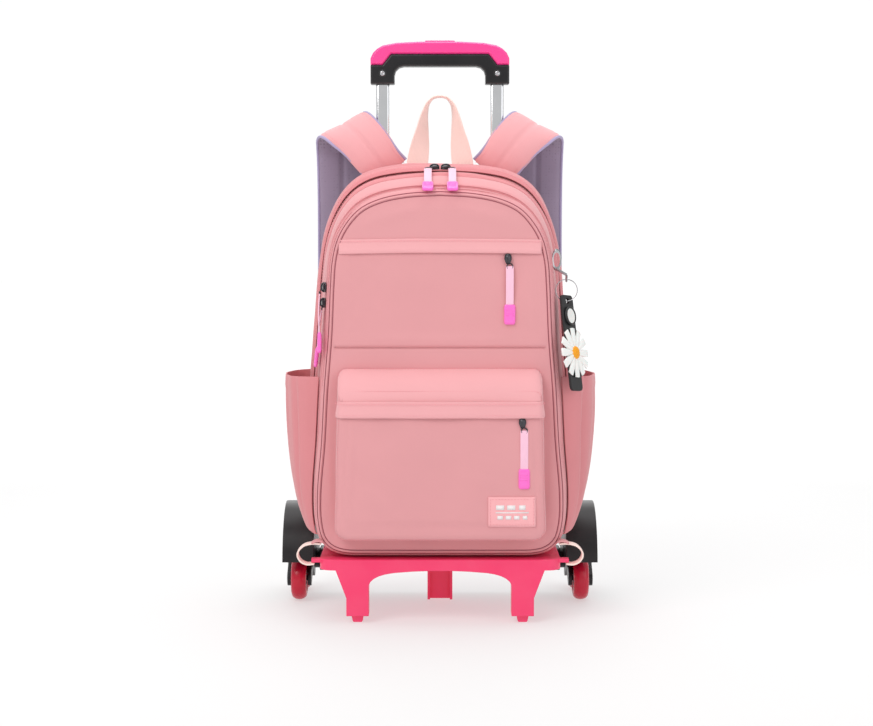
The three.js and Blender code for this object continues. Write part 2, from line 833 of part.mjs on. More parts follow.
function addPull(number, start, direction, side) {
  const stations = pullRows.map(({ along, wide, tip }) => ({
    middle: start.clone().addScaledVector(direction, along * pullLong),
    side,
    wide: wide * THREE.MathUtils.lerp(pullWide, pullTipWide, tip),
    thick: THREE.MathUtils.lerp(pullThick, pullTipThick, tip),
  }));
  addPiece(`zip_pull_${number}`, band(stations), colours.pull, 0.5);
}

const down = point(0, 0, -1);
const across = point(1, 0, 0);
const forward = point(0, -1, 0);
const tipAway = gap + pullTipThick / 2;

// The two sliders on top, whose pulls lie forward over the slope of the bag's top
const topSliderX = [-topSliderApart, topSliderApart];
topSliderX.forEach((x, i) => {
  const z = topAt(mainZipDepth, x) + zipSeat + zipThick + 2 * gap + sliderThick / 2;
  const rise = topAt(mainZipDepth + 5, x) - topAt(mainZipDepth - 5, x);
  addSlider(i + 1, point(x, mainZipDepth, z), across, point(0, -rise, 10).normalize());
  const pullX = 2.15 * x;
  const start = point(pullX, mainZipDepth - sliderWide / 2 - gap, 0);
  start.z = topAt(start.y, pullX) + topPullLift;
  const slope = point(0, frontFace - start.y, topAt(frontFace, pullX) + topPullLift - start.z).normalize();
  addPull(i + 1, start, slope, across);
});

// The pulls on the front hang straight down from their sliders
const frontSliders = [
  { x: upperSliderX, y: frontFace, z: upperFlapHigh - upperFlapHeight - gap - sliderLong / 2 },
  { x: pocketSliderX, y: pocketFront, z: pocketFlapHigh - pocketFlapHeight - gap - sliderLong / 2 },
];
frontSliders.forEach(({ x, y, z }, i) => {
  addSlider(i + 3, point(x, y - gap - sliderThick / 2, z), point(0, 0, 1), forward);
  addPull(i + 3, point(x + 2, y - tipAway, z - sliderLong / 2 - gap), down, across);
});

// The pulls of the front zip hang down side by side at the bag's left side, clear of the sliders below them
const sideSliders = sideSlidersAbove.map((above) => {
  const z = bottlePocketMouth + above;
  return { z, seat: halfWidthAt(frontZipDepth, z) + zipSeat + zipThick + 2 * gap };
});
sideSliders.forEach(({ z, seat }, i) => {
  const widening = halfWidthAt(frontZipDepth + 5, z) - halfWidthAt(frontZipDepth - 5, z);
  const widest = Math.max(...sideSliders.slice(i).map((slider) => slider.seat));
  const out = point(-10, -widening, 0).normalize();
  addSlider(i + 5, point(-seat - sliderThick / 2, frontZipDepth, z), point(0, 0, 1), out);
  const start = point(-widest - sidePullLift[i], frontZipDepth + (2 * i - 1) * sidePullApart, z - sliderLong / 2 - gap);
  const spread = (2 * i - 1) * sidePullSpread;
  const beside = halfWidthAt(start.y + spread + pullTipWide / 2, start.z - pullLong) + gap + pullTipThick;
  const hang = point(-Math.max(beside + start.x, 0), spread, -pullLong).normalize();
  addPull(i + 5, start, hang, point(0, 1, 0));
});

// Trolley base: a plate with a lip, two front feet joined by a low arch, and one foot at its middle
function footProfile() {
  const half = footWidth / 2;
  const archTop = baseTop - lipHeight;
  const archEnd = archTop - archDrop;
  const shoulder = footSpread + footFlare;
  const near = footSpread - half;
  const shape = new THREE.Shape();
  shape.moveTo(-shoulder, baseTop);
  shape.lineTo(-shoulder, archTop);
  shape.lineTo(-footSpread - half, footBottom + footStraight);
  shape.lineTo(-footSpread - half, footBottom);
  shape.lineTo(-near, footBottom);
  shape.lineTo(-near, archEnd - archLeg);
  shape.quadraticCurveTo(-near + archEase, archEnd - archEase, -near + archReach, archEnd);
  shape.quadraticCurveTo(0, archTop + archCrown, near - archReach, archEnd);
  shape.quadraticCurveTo(near - archEase, archEnd - archEase, near, archEnd - archLeg);
  shape.lineTo(near, footBottom);
  shape.lineTo(footSpread + half, footBottom);
  shape.lineTo(footSpread + half, footBottom + footStraight);
  shape.lineTo(shoulder, archTop);
  shape.lineTo(shoulder, baseTop);
  return shape;
}

function nub(sign) {
  const rings = [
    { z: footBottom + 0.5, grow: 1.5 },
    { z: 2, grow: 1.25 },
    { z: 0, grow: 1 },
  ];
  const corners = [[-1, -1], [1, -1], [1, 1], [-1, 1]];
  return loft(rings.map(({ z, grow }) => corners.map(([a, b]) => {
    const x = sign * footSpread + a * grow * nubWidth / 2;
    return point(x, baseFront + nubBack + b * grow * nubLong / 2, z);
  })));
}

// Socket that holds the foot of an outer tube
const outerTubeWidth = innerTubeWidth + 2 * gap + 2 * outerTubeWall;
const outerTubeDepth = innerTubeDepth + 2 * gap + 2 * outerTubeWall;
const beamTop = axleHeight + beamHeight / 2;

function tubeSolid(width, depth, low, high) {
  const shape = roundedRect(-width / 2, width / 2, -depth / 2, depth / 2, 3);
  return extrude(shape, low, high, 0, 2).translate(0, tubeBack, 0);
}

function base() {
  const plate = roundedRect(-baseHalfWidth, baseHalfWidth, baseFront, baseBack, baseCorner);
  const deck = extrude(plate, baseTop - basePlate, baseTop, 0.8, 3);
  const skirt = extrude(plate, baseTop - lipHeight, baseTop - 1, 0, 3);
  const inner = roundedRect(baseWall - baseHalfWidth, baseHalfWidth - baseWall, baseFront + baseWall,
    baseBack - baseWall, baseCorner - baseWall);
  const hollow = extrude(inner, baseTop - lipHeight - 1, baseTop - basePlate, 0, 3);
  const rim = cut(skirt, hollow);
  const apron = extrudeBack(footProfile(), baseFront, baseFront + footDepth, 0.6, 5);
  const rearFoot = box(-rearFootWidth / 2, rearFootWidth / 2, rearFootFront, rearFootFront + rearFootDepth,
    rearFootBottom, baseTop - 1);
  const channel = box(baseWall - rearFootWidth / 2, rearFootWidth / 2 - baseWall, rearFootFront - 1,
    rearFootFront + channelDepth, rearFootBottom - 1, baseTop - lipHeight);
  const block = box(blockInset - baseHalfWidth, baseHalfWidth - blockInset, axleBack - blockDepth / 2, axleBack + blockDepth / 2,
    beamTop + gap, baseTop - 1);
  const ears = sides.map(({ sign }) => {
    const near = sign * (baseHalfWidth - baseWall);
    const far = sign * beamHalfWidth;
    const top = baseTop - earDrop;
    return box(Math.min(near, far), Math.max(near, far), earFront, earFront + earWidth, top - earThick, top);
  });
  const sockets = sides.map(({ sign }) => {
    const shape = tubeSolid(outerTubeWidth + 2 * socketWall, outerTubeDepth + 2 * socketWall - 1, baseTop - 2, socketTop);
    return shape.translate(sign * tubeSpread, 0, 0);
  });
  const bores = sides.map(({ sign }) => {
    const bore = tubeSolid(outerTubeWidth + 2 * gap, outerTubeDepth + 2 * gap, outerTubeBottom - gap, socketTop + 5);
    return bore.translate(sign * tubeSpread, 0, 0);
  });
  const nubs = sides.map(({ sign }) => nub(sign));
  const whole = join(deck, rim, apron, cut(rearFoot, channel), block, ...ears, ...sockets, ...nubs);
  const spare = box(-baseHalfWidth, baseHalfWidth, panelBack - baseBack, panelBack + gap, baseTop + gap, socketTop + 1);
  return cut(whole, ...bores, spare);
}

// Beam under the base that carries the axle, the guards and the wheel sets
function beam() {
  const shape = roundedRect(axleBack - beamDepth / 2, axleBack + beamDepth / 2, beamTop - beamHeight, beamTop, 5);
  const bar = extrudeAcross(shape, -beamHalfWidth, beamHalfWidth, 0.8, 3);
  return cut(bar, rodAcross(axleRadius + gap, -beamHalfWidth - 1, beamHalfWidth + 1, axleBack, axleHeight));
}

const cheekFace = beamHalfWidth + gap + bossLong + gap;
const plateIn = cheekFace + cheekPlay + starPlate;
const wheelTrack = plateIn + wheelPlay + wheelWidth / 2;
const plateOut = wheelTrack + wheelWidth / 2 + wheelPlay;
const axleEnd = plateOut + starPlate + gap;

function axle() {
  const rod = rodAcross(axleRadius, -axleEnd, axleEnd, axleBack, axleHeight);
  const caps = sides.map(({ sign }) => {
    const near = sign * axleEnd;
    const far = sign * (axleEnd + capThick);
    return rodAcross(capRadius, Math.min(near, far), Math.max(near, far), axleBack, axleHeight);
  });
  return join(rod, ...caps);
}

// Places of the three wheels round the axle, as angles in degrees
const wheelAngles = [-30, 90, 210];
function wheelPlace(angle) {
  return {
    y: axleBack + armLength * Math.cos(radians(angle)),
    z: axleHeight + armLength * Math.sin(radians(angle)),
  };
}

// Three-lobed plate of a wheel set
function lobePlate(from, to) {
  const shape = new THREE.Shape();
  wheelAngles.forEach((angle, i) => {
    const { y, z } = wheelPlace(angle);
    shape.absarc(y, z, starLobe, radians(angle - 75), radians(angle + 75));
    const waist = radians(angle + 60);
    const narrow = hubRadius + 3;
    shape.lineTo(axleBack + narrow * Math.cos(waist), axleHeight + narrow * Math.sin(waist));
  });
  return extrudeAcross(shape, from, to, 0, 4);
}

function star(sign) {
  const outer = lobePlate(plateOut, plateOut + starPlate);
  const inner = lobePlate(plateIn - starPlate, plateIn);
  const hub = rodAcross(hubRadius, plateIn - 1, plateOut + 1, axleBack, axleHeight);
  const pins = wheelAngles.map((angle) => {
    const { y, z } = wheelPlace(angle);
    return rodAcross(pinRadius, plateIn - 1, plateOut + 1, y, z, 12);
  });
  const whole = join(outer, inner, hub, ...pins);
  const bore = rodAcross(axleRadius + gap, plateIn - starPlate - 1, plateOut + starPlate + 1, axleBack, axleHeight);
  const side = cut(whole, bore);
  return sign > 0 ? side : mirrored(side);
}

// Mirror image of a piece in the middle plane of the bag, with its faces turned back to point out
function mirrored(geometry) {
  const image = geometry.clone().scale(-1, 1, 1);
  image.setIndex(Array.from(image.getIndex().array).reverse());
  return image;
}

// Wheel section, from its bore out. out is a share of the radius, side of half of the width. The wheel stands on
// one of its flats, so its corners lie a little further out than its radius.
const wheelRows = [
  { out: 0.13, side: 0.9 },
  { out: 0.62, side: 0.8 },
  { out: 0.7, side: 1 },
  { out: 0.86, side: 0.92 },
  { out: 0.96, side: 0.6 },
  { out: 1, side: 0 },
];

function wheel() {
  const bore = pinRadius + gap;
  const rim = wheelRadius / Math.cos(Math.PI / wheelSteps);
  const half = wheelRows.map(({ out, side }, i) => {
    return new THREE.Vector2(i === 0 ? bore : out * rim, side * wheelWidth / 2);
  });
  const back = half.slice(0, -1).reverse().map((p) => new THREE.Vector2(p.x, -p.y));
  const profile = [...half, ...back, half[0].clone()];
  const lathe = new THREE.LatheGeometry(profile, wheelSteps, Math.PI / wheelSteps);
  const solid = closedLathe(lathe);
  return solid.rotateZ(-Math.PI / 2);
}

// A lathe shape with its seam closed and its faces pointing out
function closedLathe(lathe) {
  lathe.deleteAttribute("normal");
  lathe.deleteAttribute("uv");
  const merged = mergeVertices(lathe, 1e-4);
  const place = merged.getAttribute("position");
  const vertices = Array.from({ length: place.count }, (_, i) => new THREE.Vector3().fromBufferAttribute(place, i));
  return closedGeometry(vertices, Array.from(merged.getIndex().array));
}

// Guard over a wheel set: a band round its swing, with a cheek that holds it to the end of the beam
const guardInner = armLength + wheelRadius + guardClear;
const guardOuter = guardInner + guardThick;

// Sector round the axle over the guard's arc, between two radii
function arcSector(inner, outer) {
  const sweep = 180 - 2 * guardFrom;
  const far = Array.from({ length: guardSteps + 1 }, (_, i) => ({ r: outer, a: guardFrom + sweep * i / guardSteps }));
  const near = far.map(({ a }) => ({ r: inner, a })).reverse();
  const rim = inner > 0 ? [...far, ...near] : [...far, { r: 0, a: 0 }];
  return polygon(rim.map(({ r, a }) => [axleBack + r * Math.cos(radians(a)), axleHeight + r * Math.sin(radians(a))]));
}

function guard(sign) {
  const outside = plateOut + starPlate + cheekPlay;
  const arch = extrudeAcross(arcSector(guardInner, guardOuter), cheekFace - cheekThick, outside);
  const lip = extrudeAcross(arcSector(guardInner - 1, guardOuter), outside - 0.5, outside + guardLip);
  const cheek = extrudeAcross(arcSector(0, guardInner + 1), cheekFace - cheekThick, cheekFace);
  const boss = rodAcross(guardBoss, beamHalfWidth + gap, cheekFace, axleBack, axleHeight, 20);
  const bore = rodAcross(axleRadius + gap, beamHalfWidth - 1, cheekFace + 1, axleBack, axleHeight);
  const whole = cut(join(arch, lip, cheek, boss), bore);
  return sign > 0 ? whole : mirrored(whole);
}

addPiece("base", base(), colours.hotPink, 0.45);
addPiece("axle_beam", beam(), colours.black, 0.5);
addPiece("axle", axle(), colours.metal, 0.3, 0.9);
sides.forEach(({ name, sign }) => {
  addPiece(`mudguard_${name}`, guard(sign), colours.black, 0.4);
  addPiece(`star_${name}`, star(sign), colours.black, 0.5);
  wheelAngles.forEach((angle, i) => {
    const { y, z } = wheelPlace(angle);
    addPiece(`wheel_${name}_${i + 1}`, wheel(), colours.wheelPink, 0.4).position.set(sign * wheelTrack, y, z);
  });
});

// Handle: two outer tubes fixed to the base, two inner tubes that slide in them, and the grip
function tubes(sign) {
  const x = sign * tubeSpread;
  const outerBore = tubeSolid(innerTubeWidth + 2 * gap, innerTubeDepth + 2 * gap, outerTubeBottom - 1, outerTubeTop + 1);
  const outer = cut(tubeSolid(outerTubeWidth, outerTubeDepth, outerTubeBottom, outerTubeTop), outerBore);
  const innerTop = gripBottom + gripSocket - gap;
  const innerBore = tubeSolid(innerTubeWidth - 2 * innerTubeWall, innerTubeDepth - 2 * innerTubeWall,
    innerTubeBottom - 1, innerTop + 1);
  const inner = cut(tubeSolid(innerTubeWidth, innerTubeDepth, innerTubeBottom, innerTop), innerBore);
  return { outer: outer.translate(x, 0, 0), inner: inner.translate(x, 0, 0) };
}

function tubeBracket() {
  const half = tubeSpread + outerTubeWidth / 2 + 4;
  const back = tubeBack + outerTubeDepth / 2 + 3;
  const low = outerTubeTop - bracketHeight;
  const bar = extrude(roundedRect(-half, half, panelBack + gap, back, 6), low, outerTubeTop, 0, 2);
  const middle = box(gripLeg - tubeSpread, tubeSpread - gripLeg, panelBack + 8, back + 1, low - 1, outerTubeTop + 1);
  const bores = sides.map(({ sign }) => {
    const bore = tubeSolid(outerTubeWidth + 2 * gap, outerTubeDepth + 2 * gap, low - 1, outerTubeTop + 1);
    return bore.translate(sign * tubeSpread, 0, 0);
  });
  return cut(bar, middle, ...bores);
}

// Fabric sleeve that holds the bag to the tubes
function trolleySleeve() {
  const front = panelBack + gap;
  const back = tubeBack + outerTubeDepth / 2 + gap;
  const half = tubeSpread + outerTubeWidth / 2 + gap;
  const outline = polygon([
    [-half - 9, front], [-half - sleeveWall - 1, back - 3], [-half + 1, back + sleeveWall],
    [half - 1, back + sleeveWall], [half + sleeveWall + 1, back - 3], [half + 9, front],
    [half + 9 - sleeveWall, front], [half, back - 5], [half, back],
    [-half, back], [-half, back - 5], [sleeveWall - half - 9, front],
  ]);
  return extrude(outline, sleeveLow, sleeveHigh);
}

// Upper outline of the grip. out is a share of its half width, up of the height of its cover's end.
const gripRows = [
  { out: 1, up: 0 },
  { out: 1, up: 0.28 },
  { out: 0.963, up: 0.52 },
  { out: 0.9, up: 0.7 },
  { out: 0.82, up: 0.84 },
  { out: 0.625, up: 0.95 },
  { out: 0.31, up: 1 },
];
const coverEnd = coverSeam - coverDrop;
const seamTurn = gripHalfWidth - gripLeg + 4;

function mirrorLine(right) {
  return [...right, ...right.slice().reverse().map(([x, z]) => [-x, z])];
}

function gripBody() {
  const legIn = gripHalfWidth - gripLeg;
  const fillet = gripBarUnder - gripBottom - 10;
  const arc = [0, 30, 60, 90].map((turn) => [
    legIn - fillet + fillet * Math.cos(radians(turn)),
    gripBarUnder - fillet + fillet * Math.sin(radians(turn)),
  ]);
  const under = [[gripHalfWidth, gripBottom], [legIn, gripBottom], ...arc];
  const over = [[seamTurn, coverSeam], [seamTurn + coverChamfer - 3, coverEnd], [gripHalfWidth, coverEnd]];
  const outline = [...mirrorLine(under), ...mirrorLine(over.slice().reverse()).reverse()];
  const body = extrudeBack(polygon(outline), tubeBack - gripDepth / 2, tubeBack + gripDepth / 2, 1.5, 1);
  const bores = sides.map(({ sign }) => {
    const bore = tubeSolid(innerTubeWidth + 2 * gap, innerTubeDepth + 2 * gap, gripBottom - 1, gripBottom + gripSocket);
    return bore.translate(sign * tubeSpread, 0, 0);
  });
  return cut(body, ...bores);
}

function gripCover() {
  const rise = gripTop - coverEnd - gap;
  const top = gripRows.map(({ out, up }) => [out * gripHalfWidth, coverEnd + gap + up * rise]);
  const seam = [[seamTurn + coverChamfer - 3, coverEnd + gap], [seamTurn, coverSeam + gap]];
  const outline = [...mirrorLine(top), ...mirrorLine(seam).reverse()];
  const cover = extrudeBack(polygon(outline), tubeBack - gripDepth / 2, tubeBack + gripDepth / 2, 2, 1);
  const halfX = buttonWidth / 2 + gap;
  const halfY = buttonDepth / 2 + gap;
  const slot = box(-halfX, halfX, tubeBack - halfY, tubeBack + halfY, coverSeam - 5, gripTop + 5);
  return cut(cover, slot);
}

function button() {
  const low = coverSeam + 2 * gap + buttonTravel;
  const shape = roundedRect(-buttonWidth / 2, buttonWidth / 2, -buttonDepth / 2, buttonDepth / 2, 1);
  return extrude(shape, low, gripTop + buttonProud, 0.8, 1).translate(0, tubeBack, 0);
}

sides.forEach(({ name, sign }) => {
  const { outer, inner } = tubes(sign);
  addPiece(`outer_tube_${name}`, outer, colours.metal, 0.35, 0.9);
  addPiece(`inner_tube_${name}`, inner, colours.metal, 0.25, 0.9);
});
addPiece("tube_bracket", tubeBracket(), colours.black, 0.5);
addPiece("trolley_sleeve", trolleySleeve(), colours.cloth);
addPiece("grip_body", gripBody(), colours.black, 0.5);
addPiece("grip_cover", gripCover(), colours.gripPink, 0.4);
addPiece("release_button", button(), colours.gripPink, 0.4);

// Key ring with its clip. The clip's hook is an oval loop, and its eye holds the ring.
const clipSeat = halfWidthAt(clipBack, clipTop - clipLong / 2) + gap;
const clipMiddle = clipSeat + clipWide / 2 + clipWire;
const eyeX = clipMiddle + clipSwing;
const eyeHeight = clipTop - clipLong - clipSwing * 0.6 - eyeRadius;
const ringMiddle = eyeHeight - eyeRadius + clipWire + ringWire + gap - splitRing;

function keyClip() {
  const oval = new THREE.TorusGeometry(1, clipWire / (clipWide / 2), 5, 16);
  oval.scale(clipWide / 2, clipLong / 2, clipWide / 2).rotateX(Math.PI / 2);
  oval.translate(clipMiddle, clipBack, clipTop - clipLong / 2);
  const eye = new THREE.TorusGeometry(eyeRadius, clipWire, 5, 12).rotateY(Math.PI / 2);
  eye.translate(eyeX, clipBack, eyeHeight);
  const post = band([
    { x: eyeX, z: eyeHeight + eyeRadius },
    { x: clipMiddle, z: clipTop - clipLong - 0.2 },
    { x: clipMiddle, z: clipTop - clipLong + 0.6 },
  ].map(({ x, z }) => ({ middle: point(x, clipBack, z), side: forward, wide: 4, thick: 3 })));
  return join(oval, eye, post);
}

const ring = new THREE.TorusGeometry(splitRing, ringWire, 5, 20);
ring.rotateX(Math.PI / 2).translate(eyeX, clipBack, ringMiddle);
addPiece("key_clasp", keyClip(), colours.metal, 0.3, 0.9);
addPiece("key_ring", join(ring), colours.metal, 0.3, 0.9);

// A tag that hangs from the ring, turned to the side and leaning out over the side pocket. Its own parts are
// placed in its own frame, with the hole at the origin and the front facing -Y.
const tag = new THREE.Group();
tag.position.set(eyeX, clipBack, ringMiddle - splitRing);
tag.rotation.set(radians(-tagTilt), radians(-tagLean), radians(tagTurn));
root.add(tag);

function tagPlate() {
  const shape = roundedRect(-tagWide / 2, tagWide / 2, -tagLong, tagHole + 3, 5);
  const hole = new THREE.Path();
  hole.absarc(0, 0, tagHole, 0, 2 * Math.PI);
  shape.holes.push(hole);
  return extrudeBack(shape, -tagThick / 2, tagThick / 2, 0, 3);
}

// Round flower with blunt petals and a domed centre
function flower() {
  const shape = new THREE.Shape();
  const inner = flowerRadius * 0.62;
  for (let i = 0; i < petals; i += 1) {
    const middle = (i * 2 * Math.PI) / petals;
    const half = Math.PI / petals;
    [[-0.92, inner], [-0.62, flowerRadius * 0.93], [0, flowerRadius], [0.62, flowerRadius * 0.93]].forEach(([turn, r]) => {
      const angle = middle + turn * half;
      const x = r * Math.cos(angle);
      const z = r * Math.sin(angle);
      if (i === 0 && turn < -0.9) shape.moveTo(x, z);
      else shape.lineTo(x, z);
    });
  }
  const disc = extrudeBack(shape, -flowerThick, 0, 0, 1);
  const dome = new THREE.CylinderGeometry(flowerRadius * 0.3, flowerRadius * 0.2, 2.5, 14);
  dome.translate(0, -flowerThick - 0.75, 0);
  return join(disc, dome);
}

const tagFace = -tagThick / 2 - gap;
const badge = new THREE.CylinderGeometry(badgeRadius, badgeRadius, badgeThick, 18);
const tagParts = [
  { name: "charm_strap", shape: tagPlate(), colour: colours.black, z: 0, y: 0 },
  { name: "charm_badge", shape: badge, colour: colours.white, z: -badgeDrop, y: tagFace - badgeThick / 2 },
  { name: "flower_charm", shape: flower(), colour: colours.white, z: -flowerDrop, y: tagFace },
];
tagParts.forEach(({ name, shape, colour, z, y }) => {
  const piece = addPiece(name, shape, colour, 0.5);
  piece.position.set(0, y, z);
  tag.add(piece);
});

// Webbing loops that hook the bag's lower front corners to the ears of the base. out is a share of how far the
// loop stands out from the bag, down of its height.
const cornerLoopRows = [
  { out: 0, down: 0.02 },
  { out: 0.3, down: 0 },
  { out: 0.72, down: 0.1 },
  { out: 0.97, down: 0.38 },
  { out: 1, down: 0.6 },
  { out: 0.86, down: 0.87 },
  { out: 0.6, down: 1 },
  { out: 0.3, down: 0.98 },
];

sides.forEach(({ name, sign }) => {
  const y = earFront + earWidth / 2;
  const low = baseTop - earDrop - earThick - gap - cornerLoopThick;
  const near = halfWidthAt(y + cornerLoopWidth / 2, cornerLoopTop + cornerLoopThick) + 2 * gap;
  const stations = cornerLoopRows.map(({ out, down: drop }) => ({
    middle: point(sign * (near + out * cornerLoopOut), y, THREE.MathUtils.lerp(cornerLoopTop, low, drop)),
    side: point(0, 1, 0),
    wide: cornerLoopWidth,
    thick: cornerLoopThick,
  }));
  addPiece(`corner_loop_${name}`, band(stations), colours.webbing);
});

// The origin is the middle of the box round the whole object, at its bottom.
root.updateMatrixWorld(true);
const whole = new THREE.Box3().setFromObject(root, true);
const middle = whole.getCenter(new THREE.Vector3());
root.position.set(-middle.x, -middle.y, -whole.min.z);

export default root;
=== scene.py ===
"""Dresses the packed model of a wheeled school backpack: cloth, zips, webbing, plastics, metals and stage."""

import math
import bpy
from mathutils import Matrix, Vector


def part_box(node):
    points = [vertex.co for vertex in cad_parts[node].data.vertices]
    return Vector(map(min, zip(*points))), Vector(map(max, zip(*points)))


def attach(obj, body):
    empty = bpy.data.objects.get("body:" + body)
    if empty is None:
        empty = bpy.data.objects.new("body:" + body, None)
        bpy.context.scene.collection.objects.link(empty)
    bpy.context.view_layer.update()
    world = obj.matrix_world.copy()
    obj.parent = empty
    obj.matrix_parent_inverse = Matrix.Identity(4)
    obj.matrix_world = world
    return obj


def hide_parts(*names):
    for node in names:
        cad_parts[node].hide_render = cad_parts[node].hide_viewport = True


bl_info = {
    "name": "Wheeled Backpack",
    "version": (1, 0, 0),
    "blender": (4, 5, 0),
    "location": "View3D > Sidebar > Backpack",
    "description": "Cloth, zips, webbing, plastics and metals of a school backpack on a trolley",
    "category": "Add Mesh",
}

from functools import lru_cache

import bmesh
import bpy
import numpy as np
from mathutils import Vector, geometry, noise

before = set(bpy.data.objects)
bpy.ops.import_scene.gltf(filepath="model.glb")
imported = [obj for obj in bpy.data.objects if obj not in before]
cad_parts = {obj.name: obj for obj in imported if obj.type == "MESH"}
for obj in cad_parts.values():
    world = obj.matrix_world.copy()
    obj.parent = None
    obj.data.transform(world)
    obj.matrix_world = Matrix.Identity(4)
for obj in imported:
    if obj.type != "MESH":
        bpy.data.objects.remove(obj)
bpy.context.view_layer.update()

MM = 0.001
UP = Vector((0, 0, 1))
ACROSS = Vector((1, 0, 0))
BACK = Vector((0, 1, 0))
SIDES = (("left", -1), ("right", 1))
# Corners of a sewn square, back to the first.
SQUARE = ((-1, -1), (1, -1), (1, 1), (-1, 1), (-1, -1))

main_low, main_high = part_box("main_compartment")
front_low, front_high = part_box("front_compartment")
FRONT_Y = front_low[1]
BACK_Y = main_high[1]
BAG_LOW = main_low[2]
BAG_HIGH = main_high[2]
BAG_HALF = 150 * MM
BAG_Y = BACK_Y - 80 * MM

# Outline of the bag from the front. up is a share of its height, body and face are shares of its half width.
OUTLINE = (
    # up, body, face
    (0.0, 0.0, 0.0),
    (0.0, 0.7, 0.72),
    (0.012, 0.84, 0.87),
    (0.039, 0.918, 0.955),
    (0.09, 0.96, 0.995),
    (0.17, 0.99, 1.0),
    (0.31, 0.99, 0.965),
    (0.46, 0.973, 0.94),
    (0.61, 0.94, 0.905),
    (0.74, 0.905, 0.888),
    (0.81, 0.872, 0.872),
    (0.87, 0.818, 0.828),
    (0.92, 0.745, 0.742),
    (0.955, 0.655, 0.638),
    (0.98, 0.53, 0.48),
    (0.995, 0.31, 0.26),
    (1.0, 0.0, 0.0),
)

# Sections of the bag from its front face to its back: share of the depth, of the half width, top and bottom as
# shares of the height, and how much of the front panel's outline is used.
SECTIONS = (
    (0.0, 0.907, 0.924, 0.008, 1.0),
    (0.3, 0.962, 0.966, 0.002, 0.5),
    (0.5, 0.995, 0.991, 0.0, 0.0),
    (0.72, 1.0, 1.0, 0.0, 0.0),
    (1.0, 0.99, 0.995, 0.0, 0.0),
)
HALF_STEPS = 96


def spline(points, count):
    """Even steps along a centripetal Catmull-Rom curve through the points."""
    places = np.array(points, dtype=float)
    places = np.vstack([2 * places[0] - places[1], places, 2 * places[-1] - places[-2]])
    dense = []
    for i in range(len(places) - 3):
        p0, p1, p2, p3 = places[i:i + 4]
        t1 = max(np.linalg.norm(p1 - p0), 1e-9) ** 0.5
        t2 = t1 + max(np.linalg.norm(p2 - p1), 1e-9) ** 0.5
        t3 = t2 + max(np.linalg.norm(p3 - p2), 1e-9) ** 0.5
        for t in np.linspace(t1, t2, 24, endpoint=False):
            a1 = p0 * (t1 - t) / t1 + p1 * t / t1
            a2 = p1 * (t2 - t) / (t2 - t1) + p2 * (t - t1) / (t2 - t1)
            a3 = p2 * (t3 - t) / (t3 - t2) + p3 * (t - t2) / (t3 - t2)
            b1 = a1 * (t2 - t) / t2 + a2 * t / t2
            b2 = a2 * (t3 - t) / (t3 - t1) + a3 * (t - t1) / (t3 - t1)
            dense.append(b1 * (t2 - t) / (t2 - t1) + b2 * (t - t1) / (t2 - t1))
    dense.append(places[-2])
    dense = np.array(dense)
    gone = np.concatenate([[0], np.cumsum(np.linalg.norm(np.diff(dense, axis=0), axis=1))])
    wanted = np.linspace(0, gone[-1], count)
    return np.column_stack([np.interp(wanted, gone, dense[:, k]) for k in range(dense.shape[1])])


def along_ring(ring):
    """Unit direction at each point of a closed ring."""
    step = np.roll(ring, -1, axis=0) - np.roll(ring, 1, axis=0)
    return step / np.maximum(np.linalg.norm(step, axis=1, keepdims=True), 1e-9)


def bag_outline(y, inset=0.0):
    """Ring round the bag at depth y from the middle of its bottom, moved in by inset."""
    share = (y - FRONT_Y) / (BACK_Y - FRONT_Y)
    columns = np.array(SECTIONS)
    half, top, low, face = (np.interp(share, columns[:, 0], columns[:, k]) for k in (1, 2, 3, 4))
    half *= BAG_HALF
    height = BAG_HIGH - BAG_LOW
    low = BAG_LOW + low * height
    top = BAG_LOW + top * height
    rows = [((body + (front - body) * face) * half, low + up * (top - low)) for up, body, front in OUTLINE]
    right = spline(rows, HALF_STEPS + 1)
    right[:, 1] = np.maximum(right[:, 1], low)
    left = right[1:-1][::-1] * (-1, 1)
    ring = np.vstack([right, left])
    along = along_ring(ring)
    x = ring[:, 0] - along[:, 1] * inset
    z = ring[:, 1] + along[:, 0] * inset
    return np.column_stack([x, np.full(len(x), y), z])


@lru_cache(maxsize=None)
def outline_half(step):
    """Heights and half widths of the bag at a depth of a whole number of millimetres."""
    right = bag_outline(step * MM)[1:HALF_STEPS]
    return right[:, 2], right[:, 0]


def half_width(y, z):
    """Half of the bag's width at depth y and height z."""
    step = math.floor(y / MM)
    near, far = (float(np.interp(z, *outline_half(k))) for k in (step, step + 1))
    return near + (far - near) * (y / MM - step)


def top_at(y, x, inset=0.0):
    """Height of the bag's top at depth y, a distance x from its middle."""
    right = bag_outline(y, inset)[HALF_STEPS // 2:HALF_STEPS + 1][::-1]
    return float(np.interp(abs(x), right[:, 0], right[:, 2]))


def ring_faces(rings, count, closed=True, first=0):
    """Quads between rings with the same number of points."""
    span = count if closed else count - 1
    faces = []
    for i in range(rings - 1):
        for j in range(span):
            k = (j + 1) % count
            a = first + i * count
            faces.append((a + j, a + k, a + count + k, a + count + j))
    return faces


